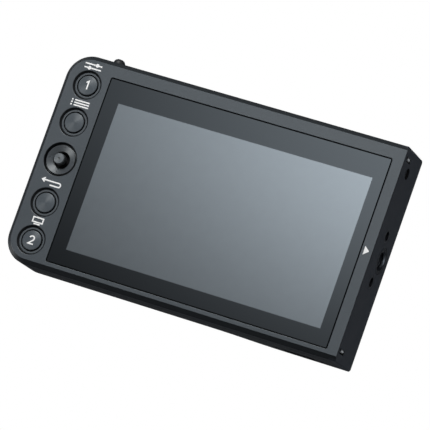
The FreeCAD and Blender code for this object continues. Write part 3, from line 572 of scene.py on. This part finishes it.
mirrorCap = {
    "dark": (0.008, 0.009, 0.010), "light": (0.016, 0.0175, 0.0195), "rough": (0.42, 0.55), "grain": 7000.0,
    "depth": 0.000008, "set": {"Specular IOR Level": 0.25},
}
dress(mouldedFinish("mirrorCap", mirrorCap), "mirror_button")

innerBlack = {
    "dark": (0.012, 0.012, 0.013), "light": (0.028, 0.028, 0.030), "rough": (0.35, 0.55), "grain": 5000.0,
    "depth": 0.00001,
}
dress(
    mouldedFinish("innerBlack", innerBlack), "tact_switches", "mirror_switch", "function_plunger", "menu_plunger",
    "cancel_plunger", "display_plunger", "mirror_plunger", "board_connectors", "video_socket")

# black moulding of the joystick mechanism, darkened further as painted shade deep in the joystick hole
gimbalBlackAndShade = {
    "dark": (0.002, 0.002, 0.0025), "light": (0.005, 0.005, 0.006), "rough": (0.6, 0.75), "grain": 5000.0,
    "depth": 0.00001, "set": {"Specular IOR Level": 0.06},
}
dress(mouldedFinish("gimbalBlackAndShade", gimbalBlackAndShade), "joystick_housing", "joystick_yoke", "joystick_rocker",
      "joystick_stem")

heatPad = {
    "dark": (0.24, 0.26, 0.30), "light": (0.34, 0.36, 0.40), "rough": (0.7, 0.9), "grain": 1800.0,
    "depth": 0.00004,
}
dress(mouldedFinish("heatPad", heatPad), "heat_pad")

reflectorWhite = {
    "dark": (0.70, 0.71, 0.71), "light": (0.80, 0.81, 0.81), "rough": (0.4, 0.55), "grain": 2500.0,
    "depth": 0.00001,
}
dress(mouldedFinish("reflectorWhite", reflectorWhite), "backlight_unit")

# steels, sheet metal and contacts
pinSteel = {
    "dark": (0.82, 0.83, 0.84), "light": (0.95, 0.96, 0.97), "rough": (0.45, 0.6),
    "stretch": (9000.0, 400.0, 9000.0), "depth": 0.000003,
    # film is painted shade on the front part of the pins
    "film": (0.016, 0.0175, 0.020), "shadeEndsAt": -0.5 * mm, "fade": 0.7 * mm,
}


# steel pins, bright towards the back, with painted shade that darkens their front part
def pinFinish(name, look):
    material, tree, shader = newFinish(name, look)
    shader.inputs["Metallic"].default_value = 1.0
    lines = useGroup(tree, brushedLines, Stretch=look["stretch"])
    # painted shade ends here: behind this plane the pins show bright steel
    unshadedPart = useGroup(tree, recessShade, Front=middle("catch_pins").y + look["shadeEndsAt"], Fade=look["fade"])["Mask"]
    bright = blendColour(tree, lines["Shade"], look["dark"], look["light"])
    linkShader(
        tree, shader,
        Base_Color=blendColour(tree, unshadedPart, look["film"], bright),
        Roughness=spread(tree, lines["Shade"], *look["rough"]),
        Normal=bumped(tree, lines["Height"], look["depth"]),
    )
    return material


dress(pinFinish("pinSteel", pinSteel), "catch_pins")

sheetMetal = {
    "dark": (0.42, 0.42, 0.43), "light": (0.62, 0.62, 0.63), "rough": (0.28, 0.45),
    "stretch": (250.0, 7000.0, 7000.0), "depth": 0.000004,
}
dress(metalFinish("sheetMetal", sheetMetal), "display_chassis", "board_screws", "key_board_screws")

bushSteel = {
    "dark": (0.036, 0.040, 0.047), "light": (0.088, 0.097, 0.112), "rough": (0.26, 0.42),
    "stretch": (9000.0, 500.0, 500.0), "depth": 0.000004,
}
dress(metalFinish("bushSteel", bushSteel), "locating_bushes")

goldPlate = {
    "dark": (0.56, 0.38, 0.12), "light": (0.78, 0.56, 0.22), "rough": (0.2, 0.34),
    "stretch": (9000.0, 9000.0, 600.0), "depth": 0.000002,
}
dress(metalFinish("goldPlate", goldPlate), "socket_contacts", "joystick_contact")


# circuit boards: solder mask over a net of copper runs, with tinned pads
boardGreen = {
    "mask": (0.008, 0.055, 0.030), "copper": (0.020, 0.105, 0.055), "pad": (0.52, 0.52, 0.50),
    "runs": 900.0, "runWidth": 0.09, "evenness": 0.35, "pads": 420.0, "padSize": 0.16,
    "maskRough": 0.42, "padRough": 0.25, "depth": 0.00002, "set": {"Coat Weight": 0.3, "Coat Roughness": 0.2},
}


def boardFinish(name, look):
    material, tree, shader = newFinish(name, look)
    place = objectPlace(tree)
    runs = addNode(tree, "ShaderNodeTexVoronoi", {"Vector": place, "Scale": look["runs"],
                                                   "Randomness": look["evenness"]},
                   feature="DISTANCE_TO_EDGE").outputs["Distance"]
    run = calc(tree, "LESS_THAN", runs, look["runWidth"])
    dots = addNode(tree, "ShaderNodeTexVoronoi", {"Vector": place, "Scale": look["pads"]}).outputs["Distance"]
    dot = calc(tree, "LESS_THAN", dots, look["padSize"])
    colour = blendColour(tree, run, look["mask"], look["copper"])
    linkShader(
        tree, shader,
        Base_Color=blendColour(tree, dot, colour, look["pad"]),
        Roughness=spread(tree, dot, look["maskRough"], look["padRough"]),
        Metallic=dot,
        Normal=bumped(tree, calc(tree, "MAXIMUM", run, dot), look["depth"]),
    )
    return material


dress(boardFinish("boardGreen", boardGreen), "main_board", "key_board")

chipBlack = {
    "dark": (0.010, 0.010, 0.011), "light": (0.024, 0.024, 0.026), "rough": (0.45, 0.6), "grain": 4000.0,
    "depth": 0.00001,
}
dress(mouldedFinish("chipBlack", chipBlack), "board_chips")

# amber flexes with fine copper conductors along their run
flexAmber = {
    "film": (0.34, 0.15, 0.025), "copper": (0.52, 0.24, 0.07), "lines": 1250.0, "sharp": 3.0, "depth": 0.00001,
    "set": {"Roughness": 0.32, "Coat Weight": 0.4},
}


def flexFinish(name, look, axis):
    material, tree, shader = newFinish(name, look)
    across = addNode(tree, "ShaderNodeSeparateXYZ", {0: objectPlace(tree)}).outputs[axis]
    wave = calc(tree, "SINE", calc(tree, "MULTIPLY", across, look["lines"] * 2 * math.pi))
    line = addNode(tree, "ShaderNodeClamp", {0: calc(tree, "MULTIPLY_ADD", wave, look["sharp"], 0.5)}).outputs[0]
    linkShader(
        tree, shader,
        Base_Color=blendColour(tree, line, look["film"], look["copper"]),
        Normal=bumped(tree, line, look["depth"]),
    )
    return material


dress(flexFinish("flexAmberUp", flexAmber, 0), "display_ribbon")
dress(flexFinish("flexAmberAcross", flexAmber, 2), "key_ribbon")

# screen cell under the glass
cellGrey = {
    "dark": (0.05, 0.056, 0.062), "light": (0.065, 0.072, 0.08), "pixels": 14500.0, "set": {"Roughness": 0.3},
}


def cellFinish(name, look):
    material, tree, shader = newFinish(name, look)
    parts = addNode(tree, "ShaderNodeSeparateXYZ", {0: objectPlace(tree)}).outputs
    waves = [calc(tree, "SINE", calc(tree, "MULTIPLY", parts[axis], look["pixels"] * 2 * math.pi))
             for axis in (0, 2)]
    grid = calc(tree, "MULTIPLY_ADD", calc(tree, "MAXIMUM", *waves), 0.5, 0.5)
    linkShader(tree, shader, Base_Color=blendColour(tree, grid, look["dark"], look["light"]))
    return material


dress(cellFinish("cellGrey", cellGrey), "lcd_panel")

# cover glass: black printed border round the grey screen, both under a clear polished face
glassLook = {
    "border": (0.0045, 0.005, 0.006), "screenDark": (0.046, 0.052, 0.058), "screenLight": (0.054, 0.061, 0.068),
    "sideBorder": 2.3 * mm, "endBorder": 2.7 * mm, "edge": 0.12 * mm,
    "polish": (0.025, 0.045), "haze": (0.13, 0.17), "dust": 260.0,
    "set": {"IOR": 1.47, "Coat IOR": 1.76, "Coat Roughness": 0.03},
}


def glassFinish(name, look):
    material, tree, shader = newFinish(name, look)
    cellLow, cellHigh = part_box("lcd_panel")
    half = (cellHigh - cellLow) / 2
    window = useGroup(tree, windowMask, **{
        "Centre": middle("lcd_panel"), "Half Width": half.x - look["sideBorder"],
        "Half Height": half.z - look["endBorder"], "Edge": look["edge"]})["Mask"]
    dust = addNode(tree, "ShaderNodeTexNoise", {"Vector": objectPlace(tree), "Scale": look["dust"],
                                                "Detail": 4.0}).outputs[0]
    screen = blendColour(tree, dust, look["screenDark"], look["screenLight"])
    haze = spread(tree, dust, *look["haze"])
    polish = spread(tree, dust, *look["polish"])
    linkShader(
        tree, shader,
        Base_Color=blendColour(tree, window, look["border"], screen),
        Roughness=blendValue(tree, window, polish, haze),
        Coat_Weight=window,
    )
    return material


dress(glassFinish("coverGlass", glassLook), "touch_glass")

# push-button caps with a fine turned face, one finish round each cap's own axis
buttonGrey = {
    # side is a painted-shade colour for the sides of the caps
    "dark": (0.040, 0.048, 0.056), "light": (0.060, 0.071, 0.082), "side": (0.006, 0.007, 0.008),
    "rough": (0.34, 0.42), "grain": 7000.0, "depth": 0.000004, "pitch": 0.07 * mm, "groove": 0.0015 * mm,
    "face": 0.3 * mm,
    "set": {"Specular IOR Level": 0.30, "Specular Tint": (0.93, 0.975, 1.0, 1), "Anisotropic": 0.6,
            "Anisotropic Rotation": 0.25},
}
buttonNames = ("function", "menu", "cancel", "display")
for name in buttonNames:
    cap = name + "_button"
    dress(turnedFinish(name + "Cap", buttonGrey, cap), cap)

# joystick: turned ring and tip
ringGrey = {
    # side is a painted-shade colour for the hole wall and outer side of the ring
    "dark": (0.012, 0.0145, 0.018), "light": (0.020, 0.024, 0.029), "side": (0.003, 0.004, 0.005),
    "rough": (0.50, 0.58), "grain": 7000.0, "depth": 0.000004, "pitch": 0.08 * mm, "groove": 0.002 * mm,
    "face": 0.8 * mm,
    "set": {"Specular IOR Level": 1.0, "Specular Tint": (0.92, 0.97, 1.0, 1), "Anisotropic": 0.97,
            "Anisotropic Rotation": 0.25},
}
dress(turnedFinish("ringGrey", ringGrey, "joystick_ring"), "joystick_ring")
stickGrey = {
    # side is a painted-shade colour for the stick's sides and its centre
    "dark": (0.030, 0.035, 0.040), "light": (0.045, 0.051, 0.058), "side": (0.004, 0.005, 0.006),
    "rough": (0.34, 0.42), "grain": 7000.0, "depth": 0.000004, "pitch": 0.07 * mm, "groove": 0.0015 * mm,
    "face": 0.3 * mm, "core": 0.5 * mm,
    "set": {"Specular IOR Level": 0.75, "Specular Tint": (0.93, 0.975, 1.0, 1), "Anisotropic": 0.3,
            "Anisotropic Rotation": 0.25},
}
dress(turnedFinish("stickGrey", stickGrey, "joystick_cap"), "joystick_cap")
print("finishes on", len(nodes), "nodes")


# finished pieces
def newPiece(name, shape, material, body, replaced=()):
    mesh = shape
    if isinstance(shape, bmesh.types.BMesh):
        mesh = bpy.data.meshes.new(name)
        shape.to_mesh(mesh)
        shape.free()
    mesh.materials.clear()
    mesh.materials.append(material)
    piece = bpy.data.objects.new(name, mesh)
    scene.collection.objects.link(piece)
    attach(piece, body)
    if replaced:
        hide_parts(*replaced)
    return piece


# white print
printWhite = {
    "dark": (0.74, 0.75, 0.76), "light": (0.86, 0.87, 0.88), "rough": (0.5, 0.65), "grain": 6000.0,
    "depth": 0.000004, "set": {"Specular IOR Level": 0.3},
}
whiteInk = mouldedFinish("printWhite", printWhite)


# thin raised print: flat outlines in X and Z, given in millimetres round a centre, joined into one solid
def joinedPrint(outlines, centre, front, back):
    solids = []
    for outline in outlines:
        shape = bmesh.new()
        face = shape.faces.new([
            shape.verts.new((centre.x + x * mm, front, centre.z + z * mm)) for x, z in outline])
        raised = bmesh.ops.extrude_face_region(shape, geom=[face])["geom"]
        moved = [item for item in raised if isinstance(item, bmesh.types.BMVert)]
        bmesh.ops.translate(shape, vec=(0, back - front, 0), verts=moved)
        bmesh.ops.recalc_face_normals(shape, faces=shape.faces)
        mesh = bpy.data.meshes.new("stroke")
        shape.to_mesh(mesh)
        shape.free()
        solids.append(bpy.data.objects.new("stroke", mesh))
        scene.collection.objects.link(solids[-1])
    first = solids[0]
    for other in solids[1:]:
        join = first.modifiers.new("join", "BOOLEAN")
        join.operation = "UNION"
        join.solver = "EXACT"
        join.object = other
    bpy.context.view_layer.update()
    whole = bpy.data.meshes.new_from_object(first.evaluated_get(bpy.context.evaluated_depsgraph_get()))
    for solid in solids:
        bpy.data.objects.remove(solid)
    return whole


# strokes of even width along a run of points, as one quad for each step
sharpestMitre = 0.4


def strokeQuads(points, width, closed=False):
    count = len(points)
    sides = []
    for index, point in enumerate(points):
        here = Vector(point)
        before = Vector(points[index - 1]) if index or closed else None
        after = Vector(points[(index + 1) % count]) if index < count - 1 or closed else None
        first = (here - before).normalized() if before is not None else (after - here).normalized()
        second = (after - here).normalized() if after is not None else first
        along = (first + second).normalized()
        square = Vector((-along.y, along.x))
        stretch = width / 2 / max(sharpestMitre, square.dot(Vector((-first.y, first.x))))
        sides.append((here + square * stretch, here - square * stretch))
    last = count if closed else count - 1
    quads = []
    for index in range(last):
        (a, b), (c, d) = sides[index], sides[(index + 1) % count]
        quads.append([tuple(a), tuple(b), tuple(d), tuple(c)])
    return quads


def discOutline(x, z, radius, steps=20):
    return [(x + radius * math.cos(2 * math.pi * k / steps), z + radius * math.sin(2 * math.pi * k / steps))
            for k in range(steps)]


def arcPoints(x, z, radius, start, end, steps=12):
    angles = [math.radians(start + (end - start) * k / steps) for k in range(steps + 1)]
    return [(x + radius * math.cos(angle), z + radius * math.sin(angle)) for angle in angles]


# pictograms beside the controls, on the front face
markLook = {"stroke": 0.44, "raise": 0.025 * mm, "sink": 0.01 * mm}
markHeights = {"function": 31.75 * mm, "menu": 19.05 * mm, "cancel": -8.1 * mm, "display": -21.15 * mm}


def sliderMark(stroke):
    quads = []
    for z, knob in ((0.65, 1.2), (-0.65, -1.2)):
        quads += strokeQuads([(-3.0, z), (3.0, z)], stroke)
        quads.append(discOutline(knob, z, 0.62))
    return quads


def listMark(stroke):
    quads = []
    for z in (0.85, 0, -0.85):
        quads += strokeQuads([(-2.1, z), (3.1, z)], stroke)
        quads.append(discOutline(-3.0, z, 0.28))
    return quads


def returnMark(stroke):
    shaft = [(-3.4, 0.45)] + arcPoints(2.6, -0.2, 0.65, 90, -90) + [(-0.4, -0.85)]
    return strokeQuads(shaft, stroke) + strokeQuads([(-2.45, 1.15), (-3.4, 0.45), (-2.45, -0.25)], stroke)


def screenMark(stroke):
    frameLine = [(-1.75, -0.45), (1.75, -0.45), (1.75, 1.1), (-1.75, 1.1)]
    return strokeQuads(frameLine, stroke, closed=True) + strokeQuads([(-1.1, -1.05), (1.1, -1.05)], stroke)


markShapes = {"function": sliderMark, "menu": listMark, "cancel": returnMark, "display": screenMark}
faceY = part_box("touch_glass")[0].y
for name in buttonNames:
    spot = middle(name + "_button")
    spot.z = markHeights[name]
    outlines = markShapes[name](markLook["stroke"])
    shape = joinedPrint(outlines, spot, faceY - markLook["raise"], faceY + markLook["sink"])
    newPiece(name + "_mark", shape, whiteInk, "housing")

# arrow on the strip beside the mounting end
arrowLook = {"x": -1.85 * mm, "z": 0.1 * mm, "length": 1.75, "height": 2.9}
arrowSpot = Vector((arrowLook["x"], 0, arrowLook["z"]))
arrowHalf = (arrowLook["length"] / 2, arrowLook["height"] / 2)
arrow = joinedPrint([[(-arrowHalf[0], arrowHalf[1]), (-arrowHalf[0], -arrowHalf[1]), (arrowHalf[0], 0)]],
                    arrowSpot, faceY - markLook["raise"], faceY + markLook["sink"])
newPiece("arrow_mark", arrow, whiteInk, "housing")

# plain numbers on two of the caps
numberLook = {"stroke": 0.46, "raise": 0.02 * mm, "sink": 0.06 * mm}
numberLines = {
    "function": [[(-0.62, 0.85), (0.12, 1.4), (0.12, -1.4)]],
    "display": [arcPoints(0, 0.58, 0.78, 165, -35, 14) + [(-0.8, -1.2), (0.95, -1.2)]],
}
for name, lines in numberLines.items():
    cap = name + "_button"
    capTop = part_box(cap)[0].y
    outlines = [quad for line in lines for quad in strokeQuads(line, numberLook["stroke"])]
    shape = joinedPrint(outlines, middle(cap), capTop - numberLook["raise"], capTop + numberLook["sink"])
    newPiece(name + "_number", shape, whiteInk, cap)
print("print on the front face and the caps")

# threaded insert in the mounting end, with a quarter-inch helical thread
insertLook = {
    "root": 3.175 * mm, "crest": 2.62 * mm, "pitch": 1.27 * mm, "mouth": 3.4 * mm, "chamfer": 0.45 * mm,
    "threadLength": 7.0 * mm, "bodyRadius": 4.0 * mm, "flange": 1.0 * mm, "bevel": 0.15 * mm,
    "segments": 72, "stepsPerTurn": 10,
}
insertSteel = {
    "dark": (0.029, 0.032, 0.037), "light": (0.080, 0.088, 0.100), "rough": (0.26, 0.42),
    "stretch": (9000.0, 500.0, 500.0), "depth": 0.000004,
}


def insertShape(look):
    low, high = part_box("thread_insert")
    centre = middle("thread_insert")
    flangeRadius = (high.z - low.z) / 2
    mouthX = high.x
    count = look["segments"]

    def plain(x, radius):
        return [(x, radius)] * count

    rows = [
        plain(low.x, look["bodyRadius"]),
        plain(mouthX - look["flange"], look["bodyRadius"]),
        plain(mouthX - look["flange"], flangeRadius),
        plain(mouthX - look["bevel"], flangeRadius),
        plain(mouthX, flangeRadius - look["bevel"]),
        plain(mouthX, look["mouth"]),
    ]
    step = look["pitch"] / look["stepsPerTurn"]
    for index in range(1, int(look["threadLength"] / step)):
        x = mouthX - index * step
        cone = look["mouth"] - index * step * (look["mouth"] - look["crest"]) / look["chamfer"]
        ring = []
        for turn in range(count):
            phase = (index / look["stepsPerTurn"] + turn / count) % 1
            depth = abs(2 * phase - 1)
            ring.append((x, max(cone, look["crest"] + (look["root"] - look["crest"]) * depth)))
        rows.append(ring)
    rows.append(plain(mouthX - look["threadLength"], look["crest"]))
    shape = bmesh.new()
    rings = []
    for row in rows:
        ring = []
        for turn, (x, radius) in enumerate(row):
            angle = 2 * math.pi * turn / count
            ring.append(shape.verts.new((
                x, centre.y + radius * math.cos(angle), centre.z + radius * math.sin(angle))))
        rings.append(ring)
    for before, after in zip(rings, rings[1:]):
        for turn in range(count):
            following = (turn + 1) % count
            shape.faces.new((before[turn], before[following], after[following], after[turn]))
    shape.faces.new(rings[0])
    shape.faces.new(rings[-1])
    bmesh.ops.recalc_face_normals(shape, faces=shape.faces)
    return shape


newPiece("threaded_insert", insertShape(insertLook), metalFinish("insertSteel", insertSteel),
         "housing", ["thread_insert"])


# cross-recessed screws: one instance at each vertex of a host mesh
screwShape = {"crownShare": 0.2, "crownTaper": 0.88, "headSides": 40, "shankSides": 24}


def makeScrewTree(look):
    tree = bpy.data.node_groups.new("crossScrews", "GeometryNodeTree")
    tree.interface.new_socket("Geometry", in_out="INPUT", socket_type="NodeSocketGeometry")
    for label in ("Head Radius", "Head Height", "Shank Radius", "Shank Length", "Slot Length", "Slot Width",
                  "Slot Depth"):
        tree.interface.new_socket(label, in_out="INPUT", socket_type="NodeSocketFloat")
    tree.interface.new_socket("Turn", in_out="INPUT", socket_type="NodeSocketVector")
    tree.interface.new_socket("Finish", in_out="INPUT", socket_type="NodeSocketMaterial")
    tree.interface.new_socket("Geometry", in_out="OUTPUT", socket_type="NodeSocketGeometry")
    given = addNode(tree, "NodeGroupInput").outputs

    def lifted(geometry, height):
        offset = addNode(tree, "ShaderNodeCombineXYZ", {2: height}).outputs[0]
        return addNode(tree, "GeometryNodeTransform", {"Geometry": geometry, "Translation": offset}).outputs[0]

    half = calc(tree, "MULTIPLY", given["Head Height"], -0.5)
    head = addNode(tree, "GeometryNodeMeshCylinder", {
        "Vertices": look["headSides"], "Radius": given["Head Radius"],
        "Depth": given["Head Height"]}).outputs["Mesh"]
    crownRadius = calc(tree, "MULTIPLY", given["Head Radius"], look["crownTaper"])
    crownDepth = calc(tree, "MULTIPLY", given["Head Height"], look["crownShare"])
    crown = addNode(tree, "GeometryNodeMeshCone", {
        "Vertices": look["headSides"], "Radius Top": crownRadius, "Radius Bottom": given["Head Radius"],
        "Depth": crownDepth}).outputs["Mesh"]
    shank = addNode(tree, "GeometryNodeMeshCylinder", {
        "Vertices": look["shankSides"], "Radius": given["Shank Radius"],
        "Depth": given["Shank Length"]}).outputs["Mesh"]
    lower = calc(tree, "SUBTRACT", calc(tree, "MULTIPLY", given["Shank Length"], -0.5), given["Head Height"])
    slotHeight = calc(tree, "MULTIPLY", given["Slot Depth"], 2.0)
    bars = []
    for first, second in (("Slot Length", "Slot Width"), ("Slot Width", "Slot Length")):
        size = addNode(tree, "ShaderNodeCombineXYZ", {0: given[first], 1: given[second], 2: slotHeight}).outputs[0]
        bar = addNode(tree, "GeometryNodeMeshCube", {"Size": size}).outputs["Mesh"]
        bars.append(lifted(bar, crownDepth))
    solid = addNode(tree, "GeometryNodeMeshBoolean", operation="UNION", solver="EXACT")
    tree.links.new(lifted(crown, 0.0), solid.inputs["Mesh 2"])
    tree.links.new(lifted(head, half), solid.inputs["Mesh 2"])
    tree.links.new(lifted(shank, lower), solid.inputs["Mesh 2"])
    cut = addNode(tree, "GeometryNodeMeshBoolean", {"Mesh 1": solid.outputs[0]}, operation="DIFFERENCE",
                  solver="EXACT")
    for bar in bars:
        tree.links.new(bar, cut.inputs["Mesh 2"])
    turn = addNode(tree, "FunctionNodeEulerToRotation", {0: given["Turn"]}).outputs[0]
    spots = addNode(tree, "GeometryNodeInstanceOnPoints", {
        "Points": given["Geometry"], "Instance": cut.outputs[0], "Rotation": turn}).outputs[0]
    solidSpots = addNode(tree, "GeometryNodeRealizeInstances", {0: spots}).outputs[0]
    finished = addNode(tree, "GeometryNodeSetMaterial", {0: solidSpots, "Material": given["Finish"]}).outputs[0]
    addNode(tree, "NodeGroupOutput", {0: finished})
    return tree


screwTree = makeScrewTree(screwShape)
screwBlack = {
    "dark": (0.040, 0.041, 0.044), "light": (0.11, 0.112, 0.118), "rough": (0.24, 0.38),
    "stretch": (700.0, 700.0, 9000.0), "depth": 0.000004,
}
screwSteel = metalFinish("screwBlack", screwBlack)


def screwPiece(name, spots, look, node):
    host = bpy.data.meshes.new(name + "_host")
    host.from_pydata(spots, [], [])
    maker = bpy.data.objects.new(name + "_host", host)
    scene.collection.objects.link(maker)
    modifier = maker.modifiers.new("screws", "NODES")
    modifier.node_group = screwTree
    for item in screwTree.interface.items_tree:
        if item.in_out == "INPUT" and item.name in look:
            modifier[item.identifier] = look[item.name]
    bpy.context.view_layer.update()
    mesh = bpy.data.meshes.new_from_object(maker.evaluated_get(bpy.context.evaluated_depsgraph_get()))
    mesh.name = name
    maker.modifiers.clear()
    bpy.data.objects.remove(maker)
    return newPiece(name, mesh, screwSteel, "housing", [node])


# four screws in the back: the heads sit in wells, the shanks reach the front shell
rearScrewLook = {
    "Head Radius": 1.4 * mm, "Head Height": 0.75 * mm, "Shank Radius": 0.8 * mm, "Slot Length": 1.75 * mm,
    "Slot Width": 0.42 * mm, "Slot Depth": 0.55 * mm, "Turn": (-math.pi / 2, 0.0, 0.0), "Finish": screwSteel,
}
low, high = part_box("rear_screws")
crownTop = screwShape["crownShare"] * rearScrewLook["Head Height"]
rearScrewLook["Shank Length"] = high.y - low.y - rearScrewLook["Head Height"] - crownTop
inset = rearScrewLook["Head Radius"]
rearSpots = [(x, high.y - crownTop, z) for x in (low.x + inset, high.x - inset)
             for z in (low.z + inset, high.z - inset)]
screwPiece("rear_cross_screws", rearSpots, rearScrewLook, "rear_screws")

# one small screw in the mounting end
sideScrewLook = {
    "Head Radius": 1.25 * mm, "Head Height": 0.6 * mm, "Shank Radius": 0.7 * mm, "Slot Length": 1.5 * mm,
    "Slot Width": 0.38 * mm, "Slot Depth": 0.45 * mm, "Turn": (0.0, math.pi / 2, 0.0), "Finish": screwSteel,
}
low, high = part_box("side_screw")
crownTop = screwShape["crownShare"] * sideScrewLook["Head Height"]
sideScrewLook["Shank Length"] = high.x - low.x - sideScrewLook["Head Height"] - crownTop
axis = middle("side_screw")
screwPiece("side_cross_screw", [(high.x - crownTop, axis.y, axis.z)], sideScrewLook, "side_screw")
print("insert and screws in place")
